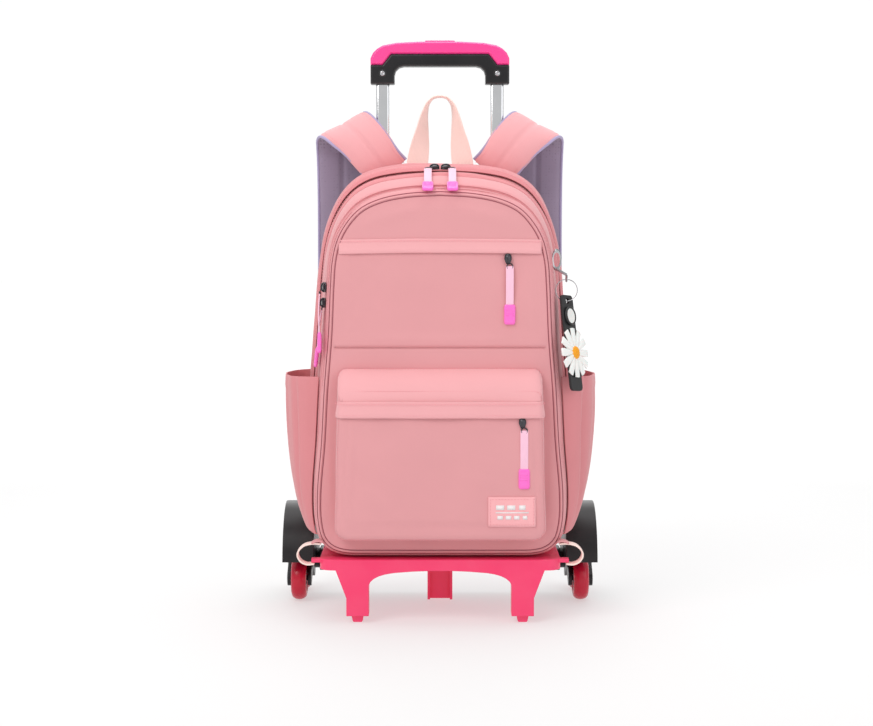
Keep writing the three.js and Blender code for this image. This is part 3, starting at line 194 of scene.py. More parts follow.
def filled(ring, spacing, rows_at=()):
    """Flat mesh inside a ring of (u, v) points, with points of about that spacing inside it.

    rows_at holds heights that get a row of points of their own, where the cloth has a fine seam.
    """
    ring = [Vector((float(u), float(v))) for u, v in ring]
    low_u = min(p.x for p in ring)
    low_v, high_v = min(p.y for p in ring), max(p.y for p in ring)
    inside = []
    rows = int((high_v - low_v) / spacing)
    heights = [low_v + j * (high_v - low_v) / rows for j in range(1, rows)]
    heights = [v for v in heights if all(abs(v - w) > 0.7 * spacing for w in rows_at)] + list(rows_at)
    for j, v in enumerate(sorted(heights)):
        shift = 0.5 * spacing * (j % 2)
        cross = []
        for a, b in zip(ring, ring[1:] + ring[:1]):
            if (a.y > v) != (b.y > v):
                cross.append(a.x + (v - a.y) / (b.y - a.y) * (b.x - a.x))
        cross.sort()
        for left, right in zip(cross[::2], cross[1::2]):
            u = math.ceil((left + 0.6 * spacing - low_u - shift) / spacing) * spacing + low_u + shift
            while u < right - 0.6 * spacing:
                inside.append(Vector((u, v)))
                u += spacing
    edges = [(i, (i + 1) % len(ring)) for i in range(len(ring))]
    made = geometry.delaunay_2d_cdt(ring + inside, edges, [], 1, 1e-6)
    return [(p.x, p.y) for p in made[0]], [tuple(face) for face in made[2]]


def segment_distance(u, v, start, end):
    """Distance of points to a segment, and the share of the way along it."""
    start, end = np.array(start), np.array(end)
    run = end - start
    share = np.clip(((u - start[0]) * run[0] + (v - start[1]) * run[1]) / max(run @ run, 1e-12), 0, 1)
    return np.hypot(u - start[0] - share * run[0], v - start[1] - share * run[1]), share


def folds(u, v, rows):
    """Depth of soft folds at points. Each row is start, end, width and depth in millimetres, in metres for places."""
    total = np.zeros(len(u))
    for start, end, width, depth in rows:
        away, share = segment_distance(u, v, start, end)
        total += depth * MM * np.exp(-(away / (width * MM)) ** 2) * np.sin(math.pi * (0.12 + 0.76 * share))
    return total


def rumple(points, size, seed):
    """Slow irregular swell of cloth at points, from -1 to 1."""
    offset = Vector((seed * 7.31, seed * 3.17, seed * 5.77))
    return np.array([noise.noise(Vector(p) / size + offset) for p in points])


def make_object(name, vertices, faces, materials, smooth=True, slots=None):
    """Mesh object at the origin from vertices and faces. slots gives each face's material."""
    mesh = bpy.data.meshes.new(name)
    mesh.from_pydata([tuple(map(float, v)) for v in vertices], [], faces)
    for material in materials:
        mesh.materials.append(material)
    if slots is not None:
        mesh.polygons.foreach_set("material_index", slots)
    mesh.polygons.foreach_set("use_smooth", [smooth] * len(mesh.polygons))
    mesh.validate()
    obj = bpy.data.objects.new(name, mesh)
    bpy.context.scene.collection.objects.link(obj)
    return obj


def join_doubles(obj, distance=0.02 * MM):
    """Merges doubled points and turns the faces out."""
    mesh = bmesh.new()
    mesh.from_mesh(obj.data)
    bmesh.ops.remove_doubles(mesh, verts=mesh.verts, dist=distance)
    bmesh.ops.recalc_face_normals(mesh, faces=mesh.faces)
    mesh.to_mesh(obj.data)
    mesh.free()


def plain_mesh(obj):
    """Puts the result of an object's modifiers into its mesh and removes them."""
    seen = obj.evaluated_get(bpy.context.evaluated_depsgraph_get())
    mesh = bpy.data.meshes.new_from_object(seen)
    obj.modifiers.clear()
    old = obj.data
    obj.data = mesh
    bpy.data.meshes.remove(old)
    return obj


def modify(obj, kind, **settings):
    """Adds one modifier with its settings."""
    made = obj.modifiers.new(kind.title(), kind)
    for key, value in settings.items():
        setattr(made, key, value)
    return made


def bevelled(obj, width, segments=2, angle=30):
    """Rounds the edges of a hard piece and keeps its flats flat."""
    modify(obj, "BEVEL", width=width, segments=segments, limit_method="ANGLE", angle_limit=math.radians(angle))
    modify(obj, "WEIGHTED_NORMAL", keep_sharp=True)


def settle(obj, nodes=(), body="root"):
    """Applies modifiers, then hangs the piece on its body and on the CAD nodes that it stands for."""
    if obj.modifiers:
        plain_mesh(obj)
    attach(obj, body)
    if nodes:
        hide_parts(*nodes)
    return obj


def joined(name, parts):
    """One object from several, with their materials kept."""
    mesh = bmesh.new()
    materials = []
    for part in parts:
        if part.modifiers:
            plain_mesh(part)
        lookup = []
        for material in part.data.materials:
            if material not in materials:
                materials.append(material)
            lookup.append(materials.index(material))
        start = len(mesh.faces)
        mesh.from_mesh(part.data)
        mesh.faces.ensure_lookup_table()
        for face in mesh.faces[start:]:
            face.material_index = lookup[face.material_index] if lookup else 0
        bpy.data.objects.remove(part)
    data = bpy.data.meshes.new(name)
    mesh.to_mesh(data)
    mesh.free()
    for material in materials:
        data.materials.append(material)
    obj = bpy.data.objects.new(name, data)
    bpy.context.scene.collection.objects.link(obj)
    return obj


def cad_copy(name, node, material):
    """Merged copy of a CAD node's mesh as a new object."""
    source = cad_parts[node]
    mesh = bmesh.new()
    mesh.from_mesh(source.data)
    bmesh.ops.remove_doubles(mesh, verts=mesh.verts, dist=0.01 * MM)
    bmesh.ops.dissolve_limit(mesh, angle_limit=math.radians(1), verts=mesh.verts, edges=mesh.edges)
    data = bpy.data.meshes.new(name)
    mesh.to_mesh(data)
    mesh.free()
    data.materials.clear()
    data.materials.append(material)
    data.polygons.foreach_set("material_index", [0] * len(data.polygons))
    data.polygons.foreach_set("use_smooth", [True] * len(data.polygons))
    obj = bpy.data.objects.new(name, data)
    bpy.context.scene.collection.objects.link(obj)
    return obj


def node(tree, kind, values=None, **settings):
    """A shader or geometry node. values sets inputs by name or place, from numbers or from other sockets."""
    made = tree.nodes.new(kind)
    for key, value in settings.items():
        setattr(made, key, value)
    for key, value in (values or {}).items():
        if isinstance(value, bpy.types.NodeSocket):
            tree.links.new(value, made.inputs[key])
        else:
            made.inputs[key].default_value = value
    return made


def sums(tree, operation, *values):
    return node(tree, "ShaderNodeMath", dict(enumerate(values)), operation=operation).outputs[0]


def mixed(tree, share, first, second):
    """Colour between two others."""
    made = node(tree, "ShaderNodeMix", {0: share, 6: first, 7: second}, data_type="RGBA")
    return made.outputs[2]


def shader_group(name, inputs, outputs):
    """A new shader node group with named inputs {name: default} and outputs, all of them numbers."""
    tree = bpy.data.node_groups.new(name, "ShaderNodeTree")
    for key, default in inputs.items():
        tree.interface.new_socket(name=key, in_out="INPUT", socket_type="NodeSocketFloat").default_value = default
    for key in outputs:
        tree.interface.new_socket(name=key, in_out="OUTPUT", socket_type="NodeSocketFloat")
    return tree, tree.nodes.new("NodeGroupInput").outputs, tree.nodes.new("NodeGroupOutput").inputs


def weave_group():
    """Plain weave on the two directions that a surface faces least. Height is the threads, Tone their colour."""
    tree, given, out = shader_group("Weave", {"Threads per Metre": 2600.0, "Slub": 0.25}, ("Height", "Tone"))
    place = node(tree, "ShaderNodeTexCoord").outputs["Object"]
    turns = sums(tree, "MULTIPLY", given["Threads per Metre"], math.pi)
    axes = node(tree, "ShaderNodeSeparateXYZ", {0: place}).outputs
    waves = [sums(tree, "SINE", sums(tree, "MULTIPLY", axis, turns)) for axis in axes]
    facing = node(tree, "ShaderNodeNewGeometry").outputs["Normal"]
    weights = [sums(tree, "ABSOLUTE", axis) for axis in node(tree, "ShaderNodeSeparateXYZ", {0: facing}).outputs]
    parts = []
    for k in range(3):
        cross = sums(tree, "MULTIPLY", waves[(k + 1) % 3], waves[(k + 2) % 3])
        parts.append(sums(tree, "MULTIPLY", cross, weights[k]))
    threads = sums(tree, "ADD", sums(tree, "ADD", parts[0], parts[1]), parts[2])
    slub = node(tree, "ShaderNodeTexNoise", {"Vector": place, "Scale": 900.0, "Detail": 1.0}).outputs["Fac"]
    uneven = sums(tree, "MULTIPLY", sums(tree, "SUBTRACT", slub, 0.5), given["Slub"])
    height = sums(tree, "ADD", sums(tree, "MULTIPLY_ADD", threads, 0.5, 0.5), uneven)
    tree.links.new(height, out["Height"])
    tree.links.new(sums(tree, "MULTIPLY_ADD", height, 0.5, 0.5), out["Tone"])
    return tree


def handling_group():
    """Slow changes that use leaves on a surface. Mottle is broad patches, Fine is a small grain, Rub is their mix."""
    tree, given, out = shader_group("Handling", {"Patch": 14.0, "Grain": 420.0}, ("Mottle", "Fine", "Rub"))
    place = node(tree, "ShaderNodeTexCoord").outputs["Object"]
    broad = node(tree, "ShaderNodeTexNoise", {"Vector": place, "Scale": given["Patch"], "Detail": 3.0}).outputs["Fac"]
    fine = node(tree, "ShaderNodeTexNoise", {"Vector": place, "Scale": given["Grain"], "Detail": 2.0}).outputs["Fac"]
    tree.links.new(broad, out["Mottle"])
    tree.links.new(fine, out["Fine"])
    tree.links.new(sums(tree, "MULTIPLY", broad, fine), out["Rub"])
    return tree


def edge_group():
    """Light scuffs on raised edges and dark in hollows, from how pointed the surface is."""
    tree, given, out = shader_group("Edges", {"Width": 0.5}, ("Raised", "Painted Hollow Shade"))
    pointed = node(tree, "ShaderNodeNewGeometry").outputs["Pointiness"]
    half = sums(tree, "MULTIPLY", given["Width"], 0.1)
    raised = node(tree, "ShaderNodeMapRange", {0: pointed, 1: 0.5, 2: sums(tree, "ADD", half, 0.5)}).outputs[0]
    sunk = sums(tree, "SUBTRACT", 0.5, half)
    # Painted shade: a mask of where the surface is hollow, which darkens the colour there.
    painted_hollow_shade = node(tree, "ShaderNodeMapRange", {0: pointed, 1: sunk, 2: 0.5, 3: 1.0, 4: 0.0})
    tree.links.new(raised, out["Raised"])
    tree.links.new(painted_hollow_shade.outputs[0], out["Painted Hollow Shade"])
    return tree


def rib_group():
    """Ribs of webbing or ribbon across its width, from the piece's own map: u along it, v across, in metres."""
    tree, given, out = shader_group("Ribs", {"Pitch": 0.0016, "Along": 0.0011}, ("Height", "Tone"))
    place = node(tree, "ShaderNodeUVMap", uv_map="strip").outputs[0]
    axes = node(tree, "ShaderNodeSeparateXYZ", {0: place}).outputs
    across = sums(tree, "SINE", sums(tree, "DIVIDE", sums(tree, "MULTIPLY", axes[1], 2 * math.pi), given["Pitch"]))
    along = sums(tree, "SINE", sums(tree, "DIVIDE", sums(tree, "MULTIPLY", axes[0], 2 * math.pi), given["Along"]))
    cross = sums(tree, "MULTIPLY", across, along)
    height = sums(tree, "MULTIPLY_ADD", sums(tree, "ADD", across, cross), 0.25, 0.5)
    tree.links.new(height, out["Height"])
    tree.links.new(sums(tree, "MULTIPLY_ADD", height, 0.4, 0.6), out["Tone"])
    return tree


GROUPS = {}
MATERIALS = {}


def effect(tree, name, values=None):
    """A shared effect placed in a material, with its own values."""
    makers = {"Weave": weave_group, "Handling": handling_group, "Edges": edge_group, "Ribs": rib_group}
    if name not in GROUPS:
        GROUPS[name] = makers[name]()
    placed = node(tree, "ShaderNodeGroup", node_tree=GROUPS[name])
    for key, value in (values or {}).items():
        placed.inputs[key].default_value = value
    return placed.outputs


def shaded(colour, share):
    """A colour times a share, with its alpha kept."""
    return (colour[0] * share, colour[1] * share, colour[2] * share, 1.0)


def material(name, build, *values, **settings):
    """The named material, built the first time it is asked for."""
    if name not in MATERIALS:
        made = bpy.data.materials.new(name)
        made.use_nodes = True
        made.node_tree.nodes.clear()
        surface = node(made.node_tree, "ShaderNodeBsdfPrincipled")
        out = node(made.node_tree, "ShaderNodeOutputMaterial")
        made.node_tree.links.new(surface.outputs[0], out.inputs["Surface"])
        build(made.node_tree, surface, *values, **settings)
        MATERIALS[name] = made
    return MATERIALS[name]


def bumped(tree, surface, height, strength, distance):
    bump = node(tree, "ShaderNodeBump", {"Height": height, "Strength": strength, "Distance": distance})
    tree.links.new(bump.outputs[0], surface.inputs["Normal"])


def woven(tree, surface, colour, sheen=0.25, threads=2600.0, depth=0.5, dull=0.82, spread=0.08):
    """Woven polyester: threads, broad uneven tone and a soft sheen."""
    weave = effect(tree, "Weave", {"Threads per Metre": threads})
    use = effect(tree, "Handling")
    tone = sums(tree, "ADD", sums(tree, "MULTIPLY", weave["Tone"], 0.5), sums(tree, "MULTIPLY", use["Mottle"], 0.5))
    tint = mixed(tree, tone, shaded(colour, 1 - spread), shaded(colour, 1 + spread))
    tree.links.new(tint, surface.inputs["Base Color"])
    rough = sums(tree, "MULTIPLY_ADD", use["Mottle"], 0.12, dull - 0.06)
    tree.links.new(rough, surface.inputs["Roughness"])
    surface.inputs["Sheen Weight"].default_value = sheen
    surface.inputs["Sheen Roughness"].default_value = 0.45
    surface.inputs["Specular IOR Level"].default_value = 0.3
    bumped(tree, surface, weave["Height"], depth, 0.00012)


def spacer_mesh(tree, surface, colour, hole=0.0036):
    """Spacer mesh: rows of small round holes, dark at their bottom, with a pale face yarn."""
    place = node(tree, "ShaderNodeTexCoord").outputs["Object"]
    flat = node(tree, "ShaderNodeMapping", {"Vector": place, "Scale": (1.0, 0.02, 1.0)}).outputs[0]
    cells = node(tree, "ShaderNodeTexVoronoi", {"Vector": flat, "Scale": 1 / hole, "Randomness": 0.12})
    pit = node(tree, "ShaderNodeMapRange", {0: cells.outputs["Distance"], 1: 0.2, 2: 0.5}).outputs[0]
    use = effect(tree, "Handling", {"Patch": 20.0})
    pale = mixed(tree, use["Mottle"], shaded(colour, 0.92), shaded(colour, 1.12))
    # Painted shade in the holes: their colour falls to 0.3 of the mesh's.
    tree.links.new(mixed(tree, pit, shaded(colour, 0.3), pale), surface.inputs["Base Color"])
    tree.links.new(sums(tree, "MULTIPLY_ADD", use["Fine"], 0.1, 0.8), surface.inputs["Roughness"])
    surface.inputs["Sheen Weight"].default_value = 0.3
    bumped(tree, surface, pit, 0.8, 0.0006)


def ribbed(tree, surface, colour, pitch=0.0016, along=0.0011, sheen=0.3, depth=0.6):
    """Webbing or ribbon with ribs along it and picks across it."""
    ribs = effect(tree, "Ribs", {"Pitch": pitch, "Along": along})
    use = effect(tree, "Handling", {"Patch": 60.0})
    tone = sums(tree, "MULTIPLY", ribs["Tone"], sums(tree, "MULTIPLY_ADD", use["Mottle"], 0.3, 0.85))
    tree.links.new(mixed(tree, tone, shaded(colour, 0.72), shaded(colour, 1.08)), surface.inputs["Base Color"])
    tree.links.new(sums(tree, "MULTIPLY_ADD", use["Fine"], 0.1, 0.72), surface.inputs["Roughness"])
    surface.inputs["Sheen Weight"].default_value = sheen
    bumped(tree, surface, ribs["Height"], depth, 0.0003)


def moulded(tree, surface, colour, dull=0.4, coat=0.0, scuff=0.35, grain=700.0, glow=0.0, shine=0.5):
    """Moulded plastic with a fine grain, paler worn edges and darker hollows."""
    surface.inputs["Specular IOR Level"].default_value = shine
    use = effect(tree, "Handling", {"Patch": 26.0, "Grain": grain})
    edges = effect(tree, "Edges", {"Width": 0.6})
    worn = sums(tree, "MULTIPLY", sums(tree, "MULTIPLY", edges["Raised"], use["Mottle"]), scuff)
    lit = mixed(tree, worn, colour, shaded([min(1.0, part + 0.18) for part in colour[:3]], 1))
    # Painted shade: hollows are mixed towards a darker copy of the colour.
    tree.links.new(mixed(tree, sums(tree, "MULTIPLY", edges["Painted Hollow Shade"], 0.3), lit, shaded(colour, 0.6)),
                   surface.inputs["Base Color"])
    tree.links.new(sums(tree, "MULTIPLY_ADD", use["Mottle"], 0.14, dull - 0.07), surface.inputs["Roughness"])
    surface.inputs["Coat Weight"].default_value = coat
    surface.inputs["Coat Roughness"].default_value = 0.12
    surface.inputs["Subsurface Weight"].default_value = glow
    surface.inputs["Subsurface Radius"].default_value = (0.003, 0.001, 0.001)
    bumped(tree, surface, use["Fine"], 0.12, 0.0002)


def metal(tree, surface, colour, dull=0.2, brushed=(1.0, 1.0, 0.03)):
    """Metal with fine drawn lines and small handling marks."""
    place = node(tree, "ShaderNodeTexCoord").outputs["Object"]
    long = node(tree, "ShaderNodeMapping", {"Vector": place, "Scale": brushed}).outputs[0]
    lines = node(tree, "ShaderNodeTexNoise", {"Vector": long, "Scale": 1400.0, "Detail": 2.0}).outputs["Fac"]
    use = effect(tree, "Handling", {"Patch": 40.0})
    tree.links.new(mixed(tree, use["Mottle"], shaded(colour, 0.9), colour), surface.inputs["Base Color"])
    tree.links.new(sums(tree, "MULTIPLY_ADD", use["Rub"], 0.2, dull - 0.05), surface.inputs["Roughness"])
    surface.inputs["Metallic"].default_value = 1.0
    bumped(tree, surface, lines, 0.1, 0.00005)


def socket_id(tree, name):
    """Identifier of a named input of a node tree."""
    return next(item.identifier for item in tree.interface.items_tree if item.name == name and item.in_out == "INPUT")


def repeat_tree():
    """Small rounded bits repeated along paths: stitches, zip teeth and the like.

    A path is a line of edges whose points hold the attribute out, the way that the surface faces.
    """
    if "Along Path" in bpy.data.node_groups:
        return bpy.data.node_groups["Along Path"]
    tree = bpy.data.node_groups.new("Along Path", "GeometryNodeTree")
    tree.interface.new_socket(name="Paths", in_out="INPUT", socket_type="NodeSocketGeometry")
    for name in ("Spacing", "Long", "Wide", "High"):
        tree.interface.new_socket(name=name, in_out="INPUT", socket_type="NodeSocketFloat")
    tree.interface.new_socket(name="Material", in_out="INPUT", socket_type="NodeSocketMaterial")
    tree.interface.new_socket(name="Bits", in_out="OUTPUT", socket_type="NodeSocketGeometry")
    given = tree.nodes.new("NodeGroupInput").outputs
    curve = node(tree, "GeometryNodeMeshToCurve", {0: given["Paths"]}).outputs[0]
    spots = node(tree, "GeometryNodeCurveToPoints", {"Curve": curve, "Length": given["Spacing"]}, mode="LENGTH")
    facing = node(tree, "GeometryNodeInputNamedAttribute", {"Name": "out"}, data_type="FLOAT_VECTOR").outputs[0]
    turned = node(tree, "FunctionNodeAlignRotationToVector", {"Vector": spots.outputs["Tangent"]}, axis="X")
    raised = node(tree, "FunctionNodeAlignRotationToVector", {"Rotation": turned.outputs[0], "Vector": facing},
                  axis="Z", pivot_axis="X")
    bit = node(tree, "GeometryNodeMeshUVSphere", {"Segments": 8, "Rings": 5, "Radius": 0.5}).outputs[0]
    size = node(tree, "ShaderNodeCombineXYZ", {0: given["Long"], 1: given["Wide"], 2: given["High"]}).outputs[0]
    shaped = node(tree, "GeometryNodeTransform", {"Geometry": bit, "Scale": size}).outputs[0]
    placed = node(tree, "GeometryNodeInstanceOnPoints",
                  {"Points": spots.outputs["Points"], "Instance": shaped, "Rotation": raised.outputs[0]}).outputs[0]
    real = node(tree, "GeometryNodeRealizeInstances", {0: placed}).outputs[0]
    soft = node(tree, "GeometryNodeSetShadeSmooth", {0: real}).outputs[0]
    done = node(tree, "GeometryNodeSetMaterial", {"Geometry": soft, "Material": given["Material"]}).outputs[0]
    tree.links.new(done, tree.nodes.new("NodeGroupOutput").inputs[0])
    return tree


def repeated(name, paths, spacing, size, finish):
    """Bits of one size along paths. Each path is its points and the way the surface faces at each of them."""
    vertices, edges, facing = [], [], []
    for points, outs in paths:
        start = len(vertices)
        vertices += [tuple(map(float, p)) for p in points]
        facing += [tuple(map(float, p)) for p in outs]
        edges += [(start + i, start + i + 1) for i in range(len(points) - 1)]
    mesh = bpy.data.meshes.new(name)
    mesh.from_pydata(vertices, edges, [])
    mesh.attributes.new("out", "FLOAT_VECTOR", "POINT").data.foreach_set("vector", np.array(facing).ravel())
    obj = bpy.data.objects.new(name, mesh)
    bpy.context.scene.collection.objects.link(obj)
    tree = repeat_tree()
    made = obj.modifiers.new("Along Path", "NODES")
    made.node_group = tree
    for key, value in zip(("Spacing", "Long", "Wide", "High", "Material"), (spacing, *size, finish)):
        made[socket_id(tree, key)] = value
    return plain_mesh(obj)


def swept(name, middles, sides, outline, materials, slots=None, steps=60, closed_ends=True):
    """A strip along middles. outline(share) gives its section as (across, out) points, in order round it.

    sides is the direction of its width at each point. slots gives a material to each edge of the section.
    The map called strip holds the length along it and the place across it, in metres.
    """
    path = spline(np.hstack([np.array(middles), np.array(sides)]), steps)
    along = np.gradient(path[:, :3], axis=0)
    along /= np.linalg.norm(along, axis=1, keepdims=True)
    side = path[:, 3:] - along * np.sum(path[:, 3:] * along, axis=1, keepdims=True)
    side /= np.linalg.norm(side, axis=1, keepdims=True)
    out = np.cross(side, along)
    gone = np.concatenate([[0], np.cumsum(np.linalg.norm(np.diff(path[:, :3], axis=0), axis=1))])
    vertices, maps = [], []
    for i in range(steps):
        section = np.array(outline(i / (steps - 1)))
        vertices.extend(path[i, :3] + section[:, :1] * side[i] + section[:, 1:2] * out[i])
        maps.extend((gone[i], a) for a, _ in section)
    count = len(section)
    faces = [(a, d, c, b) for a, b, c, d in ring_faces(steps, count)]
    numbers = [(slots or [0] * count)[k % count] for k in range(len(faces))]
    if closed_ends:
        faces += [tuple(range(count)), tuple(range((steps - 1) * count, steps * count))[::-1]]
        numbers += [numbers[0], numbers[0]]
    obj = make_object(name, vertices, faces, materials, slots=numbers)
    layer = obj.data.uv_layers.new(name="strip")
    for loop in obj.data.loops:
        layer.data[loop.index].uv = maps[loop.vertex_index]
    join_doubles(obj, 1e-6)
    return obj


def strap_section(wide, thick, round_share=0.5, points=3):
    """Flat section with rounded edges."""
    half, deep = wide / 2, thick / 2
    turn = min(deep, half) * 2 * round_share
    corner = []
    for k in range(points + 1):
        angle = math.pi / 2 * k / points
        corner.append((half - turn + turn * math.sin(angle), deep * math.cos(angle)))
    right = corner + [(a, -b) for a, b in corner[-2::-1]]
    return right + [(-a, -b) for a, b in right]


def tube(name, points, radius, finish, closed=False, sides=10):
    """Round bar along points, as a mesh."""
    points = [Vector(p) for p in points]
    count = len(points)
    vertices = []
    normal = None
    for i, here in enumerate(points):
        before = points[(i - 1) % count] if closed or i else here
        after = points[(i + 1) % count] if closed or i < count - 1 else here
        along = (after - before).normalized()
        if normal is None:
            normal = along.orthogonal().normalized()
        normal = (normal - along * normal.dot(along)).normalized()
        other = along.cross(normal)
        for j in range(sides):
            angle = 2 * math.pi * j / sides
            vertices.append(here + radius * (math.cos(angle) * normal + math.sin(angle) * other))
    faces = ring_faces(count, sides)
    if closed:
        last = (count - 1) * sides
        best = min(range(sides), key=lambda k: (vertices[last] - vertices[k]).length)
        faces += [(last + j, last + (j + 1) % sides, (j + 1 + best) % sides, (j + best) % sides)
                  for j in range(sides)]
    else:
        faces += [tuple(range(sides)), tuple(range((count - 1) * sides, count * sides))]
    obj = make_object(name, vertices, faces, [finish])
    join_doubles(obj, 1e-6)
    return obj


def turned_body(name, profile, centre, axis, finish, steps=64):
    """Round body from a profile of (radius, along) points about an axis."""
    axis = Vector(axis).normalized()
    first = axis.orthogonal().normalized()
    second = axis.cross(first)
    count = len(profile)
    vertices = []
    for i in range(steps):
        angle = 2 * math.pi * i / steps
        way = math.cos(angle) * first + math.sin(angle) * second
        vertices += [Vector(centre) + way * radius + axis * along for radius, along in profile]
    faces = []
    for i in range(steps):
        k = (i + 1) % steps
        for j in range(count - 1):
            faces.append((i * count + j, k * count + j, k * count + j + 1, i * count + j + 1))
    obj = make_object(name, vertices, faces, [finish])
    join_doubles(obj, 1e-6)
    return obj


def extruded(name, outline, low, high, place, finish, holes=()):
    """A plate from a flat outline of (u, v) points. place(u, v, w) gives the point at a height w over it."""
    ring = [Vector((u, v)) for u, v in outline]
    points = list(ring)
    edges = [(i, (i + 1) % len(ring)) for i in range(len(ring))]
    rings = [list(range(len(ring)))]
    for hole in holes:
        start = len(points)
        points += [Vector((u, v)) for u, v in hole]
        rings.append(list(range(start, len(points))))
        edges += [(start + i, start + (i + 1) % len(hole)) for i in range(len(hole))]
    made = geometry.delaunay_2d_cdt(points, edges, [], 2 if holes else 1, 1e-7)
    flat, cells = made[0], [tuple(face) for face in made[2]]
    if holes:
        cells = [c for c in cells if not any(inside(sum((flat[i] for i in c), Vector((0, 0))) / len(c), hole)
                                             for hole in holes)]
    count = len(flat)
    vertices = [place(p.x, p.y, low) for p in flat] + [place(p.x, p.y, high) for p in flat]
    faces = [c[::-1] for c in cells] + [tuple(i + count for i in c) for c in cells]
    for loop in rings:
        for a, b in zip(loop, loop[1:] + loop[:1]):
            faces.append((a, b, b + count, a + count))
    obj = make_object(name, vertices, faces, [finish], smooth=True)
    join_doubles(obj, 1e-7)
    return obj


def inside(point, ring):
    """Whether a flat point lies inside a ring."""
    found = False
    for (ax, ay), (bx, by) in zip(ring, list(ring[1:]) + [ring[0]]):
        if (ay > point.y) != (by > point.y) and point.x < ax + (point.y - ay) / (by - ay) * (bx - ax):
            found = not found
    return found


def srgb(red, green, blue):
    """Scene colour of a colour given as 0 to 255."""
    parts = [part / 255 for part in (red, green, blue)]
    return tuple(part / 12.92 if part <= 0.04045 else ((part + 0.055) / 1.055) ** 2.4 for part in parts)


def colour_setting(name, about, red, green, blue):
    return bpy.props.FloatVectorProperty(name=name, description=about, default=srgb(red, green, blue), size=3,
                                         min=0.0, max=1.0, subtype="COLOR")


def length_setting(name, about, default):
    return bpy.props.FloatProperty(name=name, description=about, default=default, min=0.0, subtype="DISTANCE",
                                   unit="LENGTH")


class BackpackColours(bpy.types.PropertyGroup):
    cloth: colour_setting("Cloth", "Main cloth of the bag", 222, 156, 160)
    # Paler copy of the cloth, used on the flaps and straps; on the pocket's top it is painted light on the faces that
    # face up.
    light: colour_setting("Light Cloth", "Flaps, pocket top and straps", 235, 170, 174)
    side: colour_setting("Side Cloth", "Side pockets and gusset", 217, 138, 143)
    # Colour of the two thin dark cords beside the front piping: painted shade in the gaps there.
    tape: colour_setting("Painted Shadow Cord", "Dark edges of the front zip", 150, 78, 90)
    teeth: colour_setting("Zip Teeth", "Coil of the zips", 214, 130, 138)
    thread: colour_setting("Thread", "Sewing thread", 238, 160, 168)
    mesh: colour_setting("Mesh", "Spacer mesh of the back and the straps", 152, 136, 158)
    binding: colour_setting("Binding", "Binding of the straps' edges", 172, 160, 196)
    webbing: colour_setting("Webbing", "Carry loop and strap webbing", 253, 228, 219)
    base: colour_setting("Base", "Moulded base of the trolley", 246, 28, 100)
    wheel: colour_setting("Wheel", "Cast wheels", 192, 8, 48)
    grip: colour_setting("Grip", "Cover of the handle's grip", 255, 62, 148)
    pull: colour_setting("Pull", "Moulded ends of the zip pulls", 255, 110, 205)
    ribbon: colour_setting("Ribbon", "Ribbons of the zip pulls", 252, 200, 222)
    black: colour_setting("Black Plastic", "Guards, grip body and fittings", 18, 18, 21)
    white: colour_setting("White Rubber", "Flower and badge", 246, 246, 243)
    centre: colour_setting("Flower Centre", "Middle of the flower", 247, 168, 16)


class BackpackSizes(bpy.types.PropertyGroup):
    cloth_wall: length_setting("Cloth Wall", "Thickness of the cloth", 1.6 * MM)
    swell: length_setting("Swell", "How far the cloth swells and sinks", 1.5 * MM)
    tooth_pitch: length_setting("Tooth Pitch", "Distance between the coils of a zip", 1.6 * MM)
    stitch_pitch: length_setting("Stitch Pitch", "Distance between stitches", 3.4 * MM)
    stitch: length_setting("Stitch", "Length of a stitch", 2.4 * MM)
    piping: length_setting("Piping", "Radius of the piping round the front", 1.1 * MM)
    strap_pad: length_setting("Strap Pad", "Thickness of the shoulder pads", 10 * MM)


def colours(name):
    return (*getattr(bpy.context.scene.backpack_colours, name), 1.0)


def sizes():
    return bpy.context.scene.backpack_sizes


def cloth():
    return material("Cloth", woven, colours("cloth"))


def light_cloth():
    return material("Light Cloth", woven, colours("light"), sheen=0.3)


def side_cloth():
    return material("Side Cloth", woven, colours("side"))


# Finish of the thin dark cords beside the front piping: painted shade.
def shadow_cord_cloth():
    return material("Painted Shadow Cord", woven, colours("tape"), threads=3400.0)


def teeth():
    return material("Zip Teeth", moulded, colours("teeth"), dull=0.45, scuff=0.1)


def thread():
    return material("Thread", moulded, colours("thread"), dull=0.7, scuff=0.0)


def mesh_cloth():
    return material("Spacer Mesh", spacer_mesh, colours("mesh"))


def webbing():
    return material("Webbing", ribbed, colours("webbing"))


def black_plastic():
    return material("Black Plastic", moulded, colours("black"), dull=0.36, scuff=0.25, shine=0.28)


def base_plastic():
    return material("Base Plastic", moulded, colours("base"), dull=0.42, coat=0.15, glow=0.05)


def steel():
    return material("Steel", metal, (0.5, 0.5, 0.52, 1.0), dull=0.22)


def gunmetal():
    return material("Gunmetal", metal, (0.09, 0.09, 0.1, 1.0), dull=0.3)


def bright_tube():
    return material("Tube Aluminium", metal, (0.92, 0.93, 0.95, 1.0), dull=0.14)


def at(y):
    """Row depth of a depth on the bag in millimetres, from its middle plane."""
    return BAG_Y + y * MM


def stitches(name, paths, wide=0.7 * MM, high=0.6 * MM):
    """Rows of stitches along paths of points and outward directions."""
    size = sizes()
    return repeated(name, paths, size.stitch_pitch, (size.stitch, wide, high), thread())


def edge_fade(points, ring, reach):
    """0 at a ring, 1 further than reach inside it, for flat points."""
    away = np.min(np.hypot(points[:, None, 0] - ring[None, :, 0], points[:, None, 1] - ring[None, :, 1]), axis=1)
    share = np.clip(away / reach, 0, 1)
    return share * share * (3 - 2 * share)


SEAM_Z = 304 * MM
SEAM_ROWS = (-4.2, -2.8, -2.0, -1.5, -1.0, -0.5, 0.0, 0.7, 1.8, 3.4)

